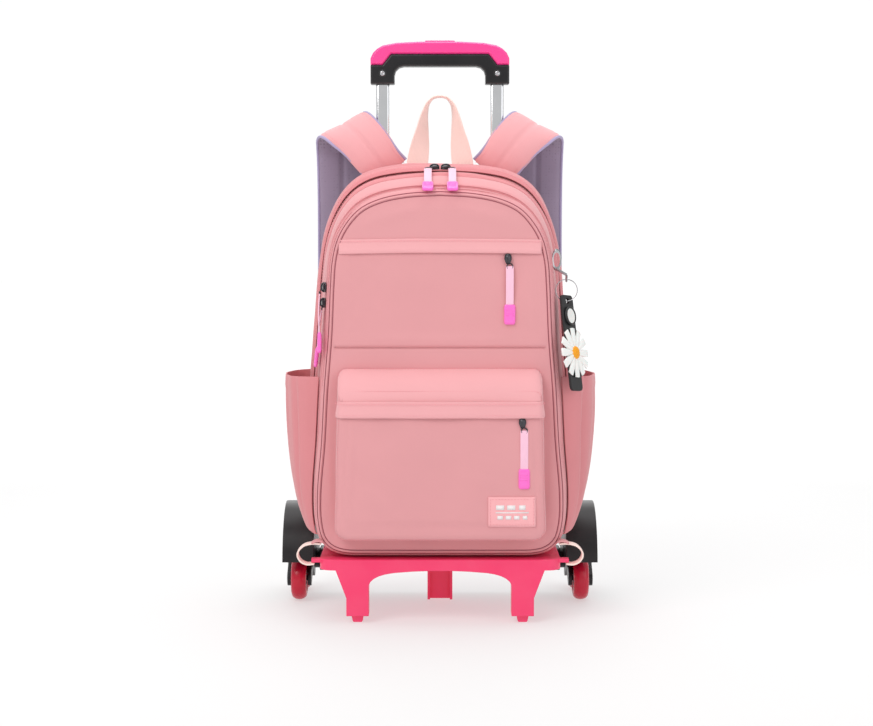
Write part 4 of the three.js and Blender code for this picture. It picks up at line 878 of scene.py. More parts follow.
# Soft folds of the front panel: ends as (x, z), then width and depth in millimetres.
FRONT_FOLDS = (
    ((-0.095, 0.404), (-0.060, 0.330), 9, -0.9),
    ((0.098, 0.400), (0.060, 0.335), 9, -0.8),
    ((-0.100, 0.312), (0.100, 0.312), 5, 0.8),
    ((-0.085, 0.440), (-0.020, 0.458), 8, 0.9),
    ((0.020, 0.458), (0.085, 0.440), 8, 0.8),
    ((-0.118, 0.292), (-0.116, 0.120), 3.5, -1.2),
    ((0.118, 0.292), (0.116, 0.120), 3.5, -1.2),
    ((-0.080, 0.380), (0.070, 0.372), 14, 0.8),
)


def front_relief(x, z):
    """How far the front panel's cloth stands out, at flat points."""
    points = np.column_stack([x, np.zeros(len(x)), z])
    relief = sizes().swell * rumple(points, 0.06, 3) + folds(x, z, FRONT_FOLDS)
    relief += 0.8 * MM * np.clip(1 - (x / 0.13) ** 2, 0, 1)
    return relief


def seam_relief(z):
    """How far the cloth stands out at the sewn lap across the front panel, at heights."""
    lap = np.clip((z - SEAM_Z) / (1.2 * MM), -1, 1)
    raised = 0.7 * MM * lap * np.exp(-((z - SEAM_Z) / (12 * MM)) ** 2)
    return raised - 2.4 * MM * np.exp(-((z - SEAM_Z + 1.0 * MM) / (0.8 * MM)) ** 2)


def front_face_y(x, z):
    """Depth of the front panel's cloth at one point."""
    return FRONT_Y - float(front_relief(np.array([x]), np.array([z]))[0] + seam_relief(z))


def ring_shell(rows, seed):
    """Cloth round the bag from rows of depth and inset in millimetres, with a slow swell."""
    rings = [bag_outline(at(y), inset * MM) for y, inset in rows]
    middle = np.array([0, 0, (BAG_LOW + BAG_HIGH) / 2])
    vertices = []
    for ring, (y, inset) in zip(rings, rows):
        along = along_ring(ring[:, (0, 2)])
        out = np.column_stack([along[:, 1], np.zeros(len(ring)), -along[:, 0]])
        free = min(1.0, max(0.0, 0.4 - inset))
        swell = sizes().swell * free * rumple(ring, 0.05, seed)
        vertices.append(ring + out * swell[:, None] * np.sign(np.sum(out * (ring - middle), axis=1))[:, None])
    return rings, np.vstack(vertices), ring_faces(len(rings), len(rings[0]))


# Depth and inset of the front compartment's cloth in millimetres, from its seam forward.
FRONT_ROWS = (
    (-20.4, 1.6), (-21.4, 0.1), (-24, -0.9), (-28, -1.5), (-34, -1.9), (-40, -1.5), (-44, -0.7), (-45.8, 0.2),
    (-46.6, 1.2), (-50.5, 1.4), (-54.2, 1.2), (-54.9, 0.0), (-56.4, -0.8), (-58.2, -0.3), (-59.8, 0.9), (-61, 2.6),
    (-61.7, 4.6), (-62, 7.0),
)

# The same for the main compartment, from the seam back.
MAIN_ROWS = (
    (-19.6, 1.6), (-18.6, 0.1), (-16, -0.8), (-12.5, -0.9), (-11, 0.1), (-10.4, 0.9), (-4, 1.1), (2.4, 0.9),
    (3.0, 0.1), (5, -0.9), (10, -1.6), (16, -1.2), (19, 0.5), (22, -1.0), (34, -1.9), (50, -2.0), (64, -1.6),
    (73, -0.9), (77, 0.2), (79.4, 1.8), (80, 4.2), (80, 9),
)


def make_bag_shells():
    rings, vertices, faces = ring_shell(FRONT_ROWS, 5)
    count = len(rings[0])
    rim = vertices[-count:]
    flat = np.column_stack([rim[:, 0], rim[:, 2]])
    inside_points, cells = filled(flat, 3.2 * MM, [SEAM_Z + step * MM for step in SEAM_ROWS])
    points = np.array(inside_points)
    relief = front_relief(points[:, 0], points[:, 1]) * edge_fade(points, flat, 14 * MM)
    relief += seam_relief(points[:, 1]) * edge_fade(points, flat, 2.5 * MM)
    face = np.column_stack([points[:, 0], FRONT_Y - relief, points[:, 1]])
    start = len(vertices)
    faces += [tuple(i + start for i in cell) for cell in cells]
    front = make_object("front_cloth", np.vstack([vertices, face]), faces, [cloth()])
    join_doubles(front)
    modify(front, "SOLIDIFY", thickness=sizes().cloth_wall, offset=-1)
    settle(front, ["front_compartment"])
    rings, vertices, faces = ring_shell(MAIN_ROWS, 9)
    rear = [tuple(range(len(vertices) - count, len(vertices)))]
    main = make_object("main_cloth", vertices, faces + rear, [side_cloth()])
    join_doubles(main)
    modify(main, "SOLIDIFY", thickness=sizes().cloth_wall, offset=-1)
    settle(main, ["main_compartment"])


def ring_path(y, out, low=None):
    """Points round the bag with their outward directions, from the right up and over, above a height."""
    ring = bag_outline(at(y), -out * MM)
    along = along_ring(ring[:, (0, 2)])
    facing = np.column_stack([along[:, 1], np.zeros(len(ring)), -along[:, 0]])
    if low is None:
        return np.vstack([ring, ring[:1]]), np.vstack([facing, facing[:1]])
    keep = [i for i in range(1, len(ring)) if ring[i, 2] > low]
    return ring[keep], facing[keep]


# Cords round the bag in millimetres: depth, inset, radius; then their finish. Three of them edge the front panel.
# The two thin dark cords are painted shade in the gaps beside the front piping.
PIPING = ((-61.15, 3.0, 1.25, cloth), (-60.05, 1.2, 0.5, shadow_cord_cloth), (-61.75, 4.8, 0.5, shadow_cord_cloth),
          (-20.0, 0.7, 1.3, side_cloth))


def make_zips():
    size = sizes()
    for name, node_name, y, wide, low in (("main_zip_tape", "main_zip", -4, 12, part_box("main_zip")[0][2]),
                                          ("front_zip_tape", "front_zip", -50.5, 7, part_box("front_zip")[0][2])):
        points, facing = ring_path(y, 0.3, low)
        section = strap_section(wide * MM, 1.1 * MM)
        tape = swept(name, points, [tuple(BACK)] * len(points), lambda share: section, [side_cloth()], steps=150)
        raised, facing = ring_path(y, 1.0, low)
        coil = repeated(name + "_teeth", [(raised, facing)], size.tooth_pitch, (1.2 * MM, wide * 0.36 * MM, 1.0 * MM),
                        teeth())
        settle(joined(name + "_whole", [tape, coil]), [node_name])
    cords = []
    for y in (-46.2, -54.6):
        ring, facing = ring_path(y, 0.5)
        cords.append(tube(f"piping_{len(cords)}", ring[:-1], size.piping, cloth(), closed=True, sides=8))
    for y, inset, radius, finish in PIPING:
        cords.append(tube(f"piping_{len(cords)}", bag_outline(at(y), inset * MM), radius * MM, finish(), closed=True,
                          sides=8))
    settle(joined("front_piping", cords))
    rows = [ring_path(y, out) for y, out in ((-43.6, 0.75), (-57.6, 0.6), (-13.4, 0.9), (5.6, 1.0), (74, 0.9))]
    settle(stitches("bag_stitches", rows))


pocket_low, pocket_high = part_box("front_pocket")
POCKET_HALF = pocket_high[0]
POCKET_DEPTH = pocket_high[1] - pocket_low[1]
POCKET_LOW_CORNER = 13 * MM
POCKET_HIGH_CORNER = 8 * MM
POCKET_TAPER = 4 * MM
POCKET_SLOPE = 34 * MM

# Sections of the front pocket: share of its depth, share of the slope of its top, inset in millimetres.
POCKET_ROWS = ((0.0, 0.0, 1.2), (0.03, 0.0, 0.2), (0.1, 0.01, -0.3), (0.25, 0.05, -0.6), (0.4, 0.1, -0.6),
               (0.6, 0.24, -0.4), (0.78, 0.42, 0.3), (0.87, 0.58, 1.0), (0.93, 0.72, 2.0), (0.97, 0.85, 3.6),
               (1.0, 0.97, 6.0), (1.01, 1.0, 7.6))

# Soft folds on the pocket's face: ends as (x, z), then width and depth in millimetres.
POCKET_FOLDS = (
    ((-0.103, 0.222), (-0.108, 0.112), 3.2, -1.6),
    ((-0.097, 0.218), (-0.101, 0.118), 4.5, 1.4),
    ((0.106, 0.180), (0.104, 0.112), 3.0, -1.7),
    ((0.099, 0.210), (0.100, 0.120), 5, 1.2),
    ((-0.098, 0.110), (0.098, 0.109), 4.5, -1.4),
    ((-0.060, 0.200), (0.020, 0.188), 16, 1.1),
    ((-0.090, 0.150), (-0.050, 0.122), 9, 1.0),
    ((0.030, 0.165), (0.085, 0.150), 10, 0.8),
)


def pocket_ring(y, drop, inset):
    """Rounded outline of the front pocket, moved in by inset and with its top lowered by drop."""
    low, high = pocket_low[2] + inset, pocket_high[2] - drop
    low_half = POCKET_HALF - inset
    high_half = low_half - POCKET_TAPER
    low_r = max(POCKET_LOW_CORNER - inset, 3 * MM)
    high_r = max(POCKET_HIGH_CORNER - inset, 3 * MM)
    ring = []
    corners = ((low_half - low_r, low + low_r, low_r, -90), (high_half - high_r, high - high_r, high_r, 0),
               (high_r - high_half, high - high_r, high_r, 90), (low_r - low_half, low + low_r, low_r, 180))
    for x, z, r, begin in corners:
        for k in range(11):
            angle = math.radians(begin + 9 * k)
            ring.append((x + r * math.cos(angle), z + r * math.sin(angle)))
    flat = np.array(ring + ring[:1])
    gone = np.concatenate([[0], np.cumsum(np.hypot(*np.diff(flat, axis=0).T))])
    wanted = np.linspace(0, gone[-1], 181)[:-1]
    x, z = (np.interp(wanted, gone, flat[:, k]) for k in (0, 1))
    return np.column_stack([x, np.full(180, y), z])


def pocket_relief(x, z):
    """How far the cloth of the pocket's face stands out, at flat points."""
    middle = (pocket_low[2] + pocket_high[2] - POCKET_SLOPE) / 2
    crown = np.clip(1 - (x / POCKET_HALF) ** 4, 0, 1) * np.clip(1 - ((z - middle) / 0.085) ** 4, 0, 1)
    points = np.column_stack([x, np.zeros(len(x)), z])
    return 2.6 * MM * crown + 1.1 * sizes().swell * rumple(points, 0.045, 11) + folds(x, z, POCKET_FOLDS)


def pocket_face_y(x, z):
    return pocket_low[1] - float(pocket_relief(np.array([x]), np.array([z]))[0])


def make_front_pocket():
    rings = [pocket_ring(pocket_high[1] - out * POCKET_DEPTH, drop * POCKET_SLOPE, inset * MM)
             for out, drop, inset in POCKET_ROWS]
    for k, ring in enumerate(rings[2:-3]):
        swell = rumple(ring, 0.04, 13)
        ring[:, 2] += np.where(ring[:, 2] > 0.2, 1.3 * MM * swell, 0)
        ring[:, 0] += np.sign(ring[:, 0]) * 0.8 * MM * swell
    vertices = np.vstack(rings)
    faces = ring_faces(len(rings), 180)
    rim = rings[-1]
    flat = rim[:, (0, 2)]
    spots, cells = filled(flat, 2.5 * MM)
    points = np.array(spots)
    relief = pocket_relief(points[:, 0], points[:, 1]) * edge_fade(points, flat, 9 * MM)
    face = np.column_stack([points[:, 0], rim[0, 1] - relief, points[:, 1]])
    faces += [tuple(i + len(vertices) for i in cell) for cell in cells]
    pocket = make_object("pocket_cloth", np.vstack([vertices, face]), faces, [cloth(), light_cloth()])
    join_doubles(pocket)
    # Painted light: faces of the pocket's top that face up get the paler cloth, as where light from above falls.
    for polygon in pocket.data.polygons:
        lit = polygon.center.z > 246 * MM and polygon.normal.z > 0.12
        polygon.material_index = 1 if lit else 0
    modify(pocket, "SOLIDIFY", thickness=sizes().cloth_wall, offset=-1)
    settle(pocket, ["front_pocket"])
    seam = []
    for out, drop, inset in ((0.9, 0.66, 0.9), (0.08, 0.0, -0.7)):
        ring = pocket_ring(pocket_high[1] - out * POCKET_DEPTH, drop * POCKET_SLOPE, inset * MM)
        along = along_ring(ring[:, (0, 2)])
        facing = np.column_stack([along[:, 1], np.full(len(ring), -0.4), -along[:, 0]])
        seam.append((ring, facing))
    settle(stitches("pocket_stitches", seam))


def flap_section(height, thick):
    """Section of a flap: its upper edge is sewn down, its lower edge stands off over the zip."""
    def section(share):
        half = height / 2
        outer = [(half, 0.0), (half * 0.93, thick * 0.45), (half * 0.7, thick * 0.35), (half * 0.2, thick * 0.75),
                 (-half * 0.4, thick * 1.25), (-half * 0.85, thick * 1.5), (-half, thick * 1.1)]
        inner = [(-half, thick * 0.55), (-half * 0.8, thick * 0.5), (0.0, 0.0), (half * 0.8, -thick * 0.2)]
        return outer + inner
    return section


def make_flaps():
    lo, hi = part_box("upper_placket")
    z = (lo[2] + hi[2]) / 2
    reach = half_width(FRONT_Y, z) - 4.9 * MM
    xs = np.linspace(reach, -reach, 60)
    bow = 1.2 * MM
    middles = [(x, front_face_y(x * 0.93, z) - 0.4 * MM + 1.4 * MM * abs(x / reach) ** 14,
                z + bow * (1 - (x / hi[0]) ** 2)) for x in xs]
    flap = swept("upper_flap", middles, [(0, 0, 1)] * len(xs), flap_section(hi[2] - lo[2] + 1 * MM, 1.5 * MM),
                 [light_cloth()], steps=110)
    wave_flap(flap, 21)
    row = [[(x, y - 1.5 * MM, zz + s) for x, y, zz in middles] for s in (5.4 * MM, -5.2 * MM)]
    sewn = stitches("upper_flap_stitches", [(points, [(0, -1, 0)] * len(points)) for points in row])
    settle(joined("upper_flap_whole", [flap, sewn]), ["upper_placket"])
    lo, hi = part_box("pocket_placket")
    z = (lo[2] + hi[2]) / 2
    side = POCKET_HALF - 3.4 * MM
    front = pocket_low[1] - 1.6 * MM
    right = [(side, pocket_high[1] - 6 * MM), (side + 0.2 * MM, pocket_low[1] + 11 * MM),
             (side - 0.8 * MM, pocket_low[1] + 5 * MM), (side - 4 * MM, front + 1.4 * MM), (side - 12 * MM, front)]
    across = [(x, front - 1.9 * MM * (1 - (x / side) ** 2)) for x in np.linspace(side - 26 * MM, 26 * MM - side, 14)]
    left = [(-x, y) for x, y in right[::-1]]
    middles = [(x, y, z) for x, y in right + across + left]
    flap = swept("pocket_flap", middles, [(0, 0, 1)] * len(middles), flap_section(hi[2] - lo[2] + 1 * MM, 1.5 * MM),
                 [light_cloth()], steps=140)
    wave_flap(flap, 23)
    dense = spline(middles, 90)
    facing = np.cross(np.gradient(dense, axis=0), (0, 0, 1))
    facing = -facing / np.linalg.norm(facing, axis=1, keepdims=True)
    rows = [(dense + facing * 1.9 * MM + (0, 0, s), facing) for s in (6.2 * MM, -6.0 * MM)]
    settle(joined("pocket_flap_whole", [flap, stitches("pocket_flap_stitches", rows)]), ["pocket_placket"])


def wave_flap(obj, seed):
    """Slight waves in a flap, so that its free edge isn't straight."""
    for vertex in obj.data.vertices:
        swell = noise.noise(Vector((vertex.co.x * 22, seed, vertex.co.z * 9)))
        vertex.co += Vector((0, -0.5 * MM * swell, 0.35 * MM * swell))


def make_label():
    lo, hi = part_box("label_patch")
    patch = []
    rows, columns = 12, 18
    for j in range(rows + 1):
        for i in range(columns + 1):
            x = lo[0] + (hi[0] - lo[0]) * i / columns
            z = lo[2] + (hi[2] - lo[2]) * j / rows
            patch.append((x, pocket_face_y(x, z) - 1.3 * MM, z))
    faces = [(a, a + 1, a + columns + 2, a + columns + 1)
             for j in range(rows) for a in range(j * (columns + 1), j * (columns + 1) + columns)]
    finish = material("Label Cloth", woven, tuple(min(1, c * 1.12) for c in colours("light")[:3]) + (1.0,))
    plate = make_object("label_plate", patch, faces, [finish])
    modify(plate, "SOLIDIFY", thickness=1.2 * MM, offset=-1)
    centre_x, centre_z = (lo[0] + hi[0]) / 2, (lo[2] + hi[2]) / 2
    border = []
    for half_x, half_z in ((23.5, 14), (22.3, 12.8)):
        ring = [(centre_x + a * half_x * MM, centre_z + b * half_z * MM)
                for a, b in SQUARE]
        dense = [np.array(a) * (1 - t) + np.array(b) * t
                 for a, b in zip(ring, ring[1:]) for t in np.linspace(0, 1, 9)]
        border.append(([(x, pocket_face_y(x, z) - 1.5 * MM, z) for x, z in dense], [(0, -1, 0)] * len(dense)))
    print_white = material("Label Print", moulded, (0.9, 0.86, 0.86, 1.0), dull=0.6, scuff=0.0)
    sewn = stitches("label_stitches", border[:1], 0.6 * MM, 0.5 * MM)
    blocks = []
    for x, z, wide, high in ((-13, 5, 9, 5), (-1, 5, 9, 5), (11, 5, 7, 5), (-13, -6, 6, 4), (-4, -6, 6, 4),
                             (5, -6, 6, 4), (14, -6, 5, 4), (0, -0.6, 36, 1.2)):
        cx, cz = centre_x + x * MM, centre_z + z * MM
        corners = [(cx + a * wide * MM / 2, cz + b * high * MM / 2) for a, b in ((-1, -1), (1, -1), (1, 1), (-1, 1))]
        block = extruded(f"label_block_{len(blocks)}", corners, 1.2 * MM, 1.75 * MM,
                         lambda u, v, w: (u, pocket_face_y(u, v) - w, v), print_white)
        blocks.append(block)
    settle(joined("label_whole", [plate, sewn, *blocks]), ["label_patch"])


# Side pocket from its mouth down: share of its height, of how far it stands out, and of its length.
POUCH_ROWS = ((0, 0.9, 1), (0.07, 0.89, 1), (0.25, 0.84, 1), (0.5, 0.7, 1), (0.75, 0.5, 0.98), (0.9, 0.34, 0.9),
              (0.985, 0.22, 0.76), (1, 0.12, 0.73), (1, 0.0, 0.72))

# The same from front to back: share of its length, of how far it stands out.
POUCH_FOLDS = ((0, 0), (0.06, 0.55), (0.15, 0.9), (0.28, 1), (0.45, 0.95), (0.6, 1), (0.75, 0.9), (0.87, 0.72),
               (0.95, 0.4), (1, 0))


def make_side_pockets():
    columns, rows = 64, 46
    along = spline(POUCH_FOLDS, columns)
    down = spline(POUCH_ROWS, rows)
    front, back, bulge = at(-46), at(74), 29 * MM
    for name, sign in SIDES:
        lo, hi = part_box(f"side_pocket_{name}")
        vertices, hem = [], []
        for i, (drop, out, rear) in enumerate(down):
            z = hi[2] - drop * (hi[2] - lo[2])
            for j, (share, stand) in enumerate(along):
                y = front + share * rear * (back - front)
                seat = half_width(y, z) + 2.7 * MM
                crease = -6.5 * math.exp(-((share - 0.13) / 0.03) ** 2)
                crease -= 4.0 * math.exp(-((share - 0.36) / 0.04) ** 2)
                crease += 2.0 * math.sin(share * 21 + drop * 2.5 + sign) * math.sin(math.pi * min(1, share * 1.02))
                gather = 0.35 + 0.65 * min(1, drop * 3)
                thick = 0.7 if drop < 0.068 else 0.0
                x = seat + stand * out * bulge + (crease * gather * out + thick * min(1, stand * 3)) * MM
                sag = -1.4 * MM * math.sin(math.pi * share) * max(0, 1 - drop * 6)
                vertices.append((sign * max(x, seat), y, z + sag))
                if i == 5:
                    hem.append((sign * (max(x, seat) + 0.2 * MM), y, z))
        faces = ring_faces(rows, columns, closed=False)
        pouch = make_object(f"pouch_{name}", vertices, faces, [side_cloth()])
        if sign < 0:
            pouch.data.flip_normals()
        modify(pouch, "SOLIDIFY", thickness=1.5 * MM, offset=-1)
        modify(pouch, "BEVEL", width=0.4 * MM, segments=2, limit_method="ANGLE", angle_limit=math.radians(60))
        seam = stitches(f"pouch_{name}_stitches", [(hem, [(sign, 0, 0)] * len(hem))])
        settle(joined(f"side_pouch_{name}", [plain_mesh(pouch), seam]), [f"side_pocket_{name}"])


def node_frame(name, away_from=None):
    """Middle of a CAD node, its long, middle and thin directions and its size along them."""
    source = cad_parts[name]
    points = np.array([tuple(v.co) for v in source.data.vertices])
    points = np.unique(points.round(6), axis=0)
    axes = np.linalg.svd(points - points.mean(axis=0), full_matrices=False)[2]
    spread = (points @ axes.T).max(axis=0) - (points @ axes.T).min(axis=0)
    order = np.argsort(-spread)
    axes, spread = axes[order], spread[order]
    middle = ((points @ axes.T).max(axis=0) + (points @ axes.T).min(axis=0)) / 2 @ axes
    long, _, thin = (Vector(axis) for axis in axes)
    if long.z > 0:
        long.negate()
    if away_from is not None and thin.dot(Vector(middle) - Vector(away_from)) < 0:
        thin.negate()
    return Vector(middle), long, thin.cross(long).normalized(), thin, spread


BAG_HEART = Vector((0, BAG_Y + 10 * MM, (BAG_LOW + BAG_HIGH) / 2))


def make_slider(number):
    """Zip slider: two rounded plates, the bridge over them and the ring of the pull."""
    name = f"zip_slider_{number}"
    middle, long, wide, thin, spread = node_frame(name, BAG_HEART)
    finish = gunmetal()

    def place(u, v, w):
        return middle + wide * u + long * v + thin * w

    half_long, half_wide, half_thin = (part / 2 for part in spread)
    outline = [(half_wide * a, half_long * b) for a, b in ((0.55, -1), (0.95, -0.55), (1, 0), (0.72, 0.6), (0.5, 1),
                                                         (-0.5, 1), (-0.72, 0.6), (-1, 0), (-0.95, -0.55),
                                                         (-0.55, -1))]
    plate = extruded(name + "_plate", outline, -half_thin * 0.2, half_thin * 0.45, place, finish)
    lower = extruded(name + "_lower", outline, -half_thin, -half_thin * 0.45, place, finish)
    neck = extruded(name + "_neck", [(a * 0.35, b * 0.35) for a, b in outline], -half_thin * 0.5, 0, place, finish)
    arch = [place(0, v * half_long, w * half_thin)
            for v, w in ((-0.72, 0.35), (-0.6, 0.85), (-0.2, 1.15), (0.25, 1.15), (0.62, 0.85), (0.75, 0.35))]
    bridge = tube(name + "_bridge", spline(arch, 14), 0.95 * MM, finish, sides=8)
    return joined(name + "_body", [plate, lower, neck, bridge])


def make_pull(number):
    """Woven ribbon that hangs from the slider by a wire ring and ends in a soft moulded tip."""
    name = f"zip_pull_{number}"
    middle, long, wide, thin, spread = node_frame(name, BAG_HEART)
    start = middle - long * spread[0] / 2
    ribbon_long = 43.5 * MM
    steps = [0, 0.1, 0.3, 0.5, 0.75, 1]
    bow = thin * 1.0 * MM
    middles = [start + long * (2 * MM + share * ribbon_long) + bow * math.sin(math.pi * share) for share in steps]
    section = strap_section(8.6 * MM, 1.3 * MM)
    woven_ribbon = material("Pull Ribbon", ribbed, colours("ribbon"), pitch=0.0009, along=0.0007, sheen=0.4)
    ribbon = swept(name + "_ribbon", middles, [wide] * len(steps), lambda share: section, [woven_ribbon], steps=28)
    soft = material("Pull Tip", moulded, colours("pull"), dull=0.3, coat=0.3, scuff=0.1, glow=0.1)

    def tip_section(share):
        opening = 0.62 + 3.2 * share if share < 0.12 else 1.0
        swell = min(1.0, opening, 1.0 - 0.55 * max(0, (share - 0.86) / 0.14) ** 2)
        return [(a * (0.62 + 0.38 * swell), b * swell) for a, b in strap_section(12.4 * MM, 4.3 * MM, 0.5, 4)]

    tip_start = start + long * (2 * MM + ribbon_long - 1.5 * MM)
    tip_end = start + long * (spread[0] - 0.2 * MM)
    tip_middles = [tip_start.lerp(tip_end, share) for share in (0, 0.25, 0.5, 0.75, 1)]
    tip = swept(name + "_tip", tip_middles, [wide] * 5, tip_section, [soft], steps=26)
    groove = []
    for share in (0.3, 0.42, 0.54):
        here = tip_start.lerp(tip_end, share) + thin * 1.9 * MM
        rib = [here - wide * 4.2 * MM, here, here + wide * 4.2 * MM]
        groove.append(tube(f"{name}_rib_{len(groove)}", rib, 0.5 * MM, soft, sides=6))
    loop = [start + long * (2.6 * MM + 3.4 * MM * math.cos(a)) + wide * 3.3 * MM * math.sin(a) + thin * 0.2 * MM
            for a in np.linspace(0, 2 * math.pi, 17)[:-1]]
    ring = tube(name + "_ring", loop, 0.7 * MM, gunmetal(), closed=True, sides=8)
    settle(joined(name + "_whole", [ribbon, tip, ring, *groove]), [name])


def make_sliders_and_pulls():
    for number in range(1, 7):
        settle(make_slider(number), [f"zip_slider_{number}"])
        make_pull(number)


# Middle line of a shoulder strap: share of the bag's half width, of its reach behind the bag, of its height from
# pad end to crest, tilt of its width in degrees, share of its width.
STRAP_ROWS = (
    (0.385, 0.1, 0.81, 22, 0.86),
    (0.48, 0.01, 0.875, 28, 0.86),
    (0.585, 0.0, 0.936, 31, 0.9),
    (0.685, 0.086, 0.98, 30, 1.0),
    (0.745, 0.276, 0.995, 29, 1.0),
    (0.775, 0.51, 0.972, 27, 1.0),
    (0.777, 0.76, 0.935, 18, 1.0),
    (0.773, 0.914, 0.866, 4, 1.0),
    (0.77, 0.98, 0.76, 0, 1.0),
    (0.77, 1.0, 0.64, 0, 1.0),
    (0.77, 0.93, 0.48, 0, 1.0),
    (0.77, 0.82, 0.316, 0, 1.0),
    (0.77, 0.66, 0.155, 0, 0.97),
    (0.77, 0.5, 0.0, 0, 0.8),
)
STRAP_END = 192 * MM
WEBBING_WIDE = 24.6 * MM
STRAP_CREST = BAG_HIGH + 52 * MM
STRAP_REACH = 58 * MM
STRAP_WIDE = 60 * MM


def eased(rows, count, times):
    """Even steps along rows of numbers, with the bends made rounder."""
    path = spline(rows, count)
    for _ in range(times):
        path[1:-1] = (path[:-2] + 2 * path[1:-1] + path[2:]) / 4
    return path


def strap_line(sign):
    """Middles, sides and widths of one shoulder strap."""
    middles, sides, widths = [], [], []
    for i, (out, back, up, lean, wide) in enumerate(STRAP_ROWS):
        z = STRAP_END + up * (STRAP_CREST - STRAP_END)
        if i == 0:
            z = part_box("strap_left")[1][2] - 82 * MM
            z = max(z, top_at(BACK_Y - 1 * MM, out * BAG_HALF - 20 * MM, 4 * MM) - 5 * MM)
        tilt = math.radians(lean)
        middles.append((sign * out * BAG_HALF, BACK_Y + back * STRAP_REACH, z))
        sides.append((sign * math.cos(tilt), 0, -math.sin(tilt)))
        widths.append(wide * STRAP_WIDE)
    path = eased(np.column_stack([middles, sides, widths]), 70, 8)
    return path[:, :3], path[:, 3:6], path[:, 6]


def make_straps():
    pad = sizes().strap_pad / 2
    bound = material("Strap Binding", ribbed, colours("binding"), pitch=0.0012)
    for name, sign in SIDES:
        middles, sides, widths = strap_line(sign)
        reach = np.concatenate([[0], np.cumsum([math.dist(a, b) for a, b in zip(middles, middles[1:])])])
        reach /= reach[-1]
        facing = 1 if sign > 0 else -1

        def section(share):
            half = float(np.interp(share, reach, widths)) / 2 - 1.4 * MM
            ends = min(1.0, 0.45 + 5 * share, 0.4 + 6 * (1 - share))
            outer, inner = [], []
            for t in np.linspace(1, -1, 19):
                crown = (1 - abs(t) ** 3.2) ** 0.7 * ends
                row = 1 - 0.16 * math.exp(-((abs(t) - 0.8) / 0.05) ** 2)
                row -= 0.3 * math.exp(-(t * half / (1.6 * MM)) ** 2)
                outer.append((t * half, facing * (pad * crown * row + 0.5 * MM)))
                seam = 1 - 0.6 * math.exp(-(t * half / (1.8 * MM)) ** 2)
                inner.append((-t * half, -facing * (pad * crown * seam + 0.3 * MM)))
            return outer + inner

        slots = [0] * 19 + [1] * 19
        strap = swept(f"strap_pad_{name}", middles, sides, section, [light_cloth(), mesh_cloth()], slots, steps=170)
        for vertex in strap.data.vertices:
            swell = noise.noise(vertex.co * 30 + Vector((7, sign, 0)))
            vertex.co += 0.5 * MM * swell * Vector((0, 1, 0.4))
        path = spline(np.column_stack([middles, sides, widths]), 120)
        edges, rows = [], []
        along = np.gradient(path[:, :3], axis=0)
        along /= np.linalg.norm(along, axis=1, keepdims=True)
        side = path[:, 3:6] - along * np.sum(path[:, 3:6] * along, axis=1, keepdims=True)
        side /= np.linalg.norm(side, axis=1, keepdims=True)
        out = np.cross(side, along) * facing
        half = path[:, 6:7] / 2
        for way in (1, -1):
            rim_line = path[:, :3] + side * (half - 1.2 * MM) * way
            edges.append(tube(f"strap_edge_{name}_{way}", rim_line, 1.7 * MM, bound, sides=8))
            rows.append((path[:, :3] + side * (half * 0.8) * way + out * (pad * 0.62), out))
        sewn = stitches(f"strap_stitches_{name}", rows)
        whole = joined(f"shoulder_strap_{name}", [strap, sewn, *edges])
        settle(whole, [f"strap_{name}"])


def ribbon_piece(name, middles, sides, wide, thick, steps=60):
    section = strap_section(wide, thick, 0.5, 3)
    return swept(name, middles, sides, lambda share: section, [webbing()], steps=steps)


def box_stitch(name, centre, side, up, out, wide, high):
    """Sewn square with its cross, where webbing is fastened."""
    centre, side, up, out = (Vector(part) for part in (centre, side, up, out))
    corner = [centre + side * a * wide / 2 + up * b * high / 2 for a, b in SQUARE]
    lines = [corner, [corner[0], corner[2]], [corner[1], corner[3]]]
    return stitches(name, [(line, [out] * len(line)) for line in lines])


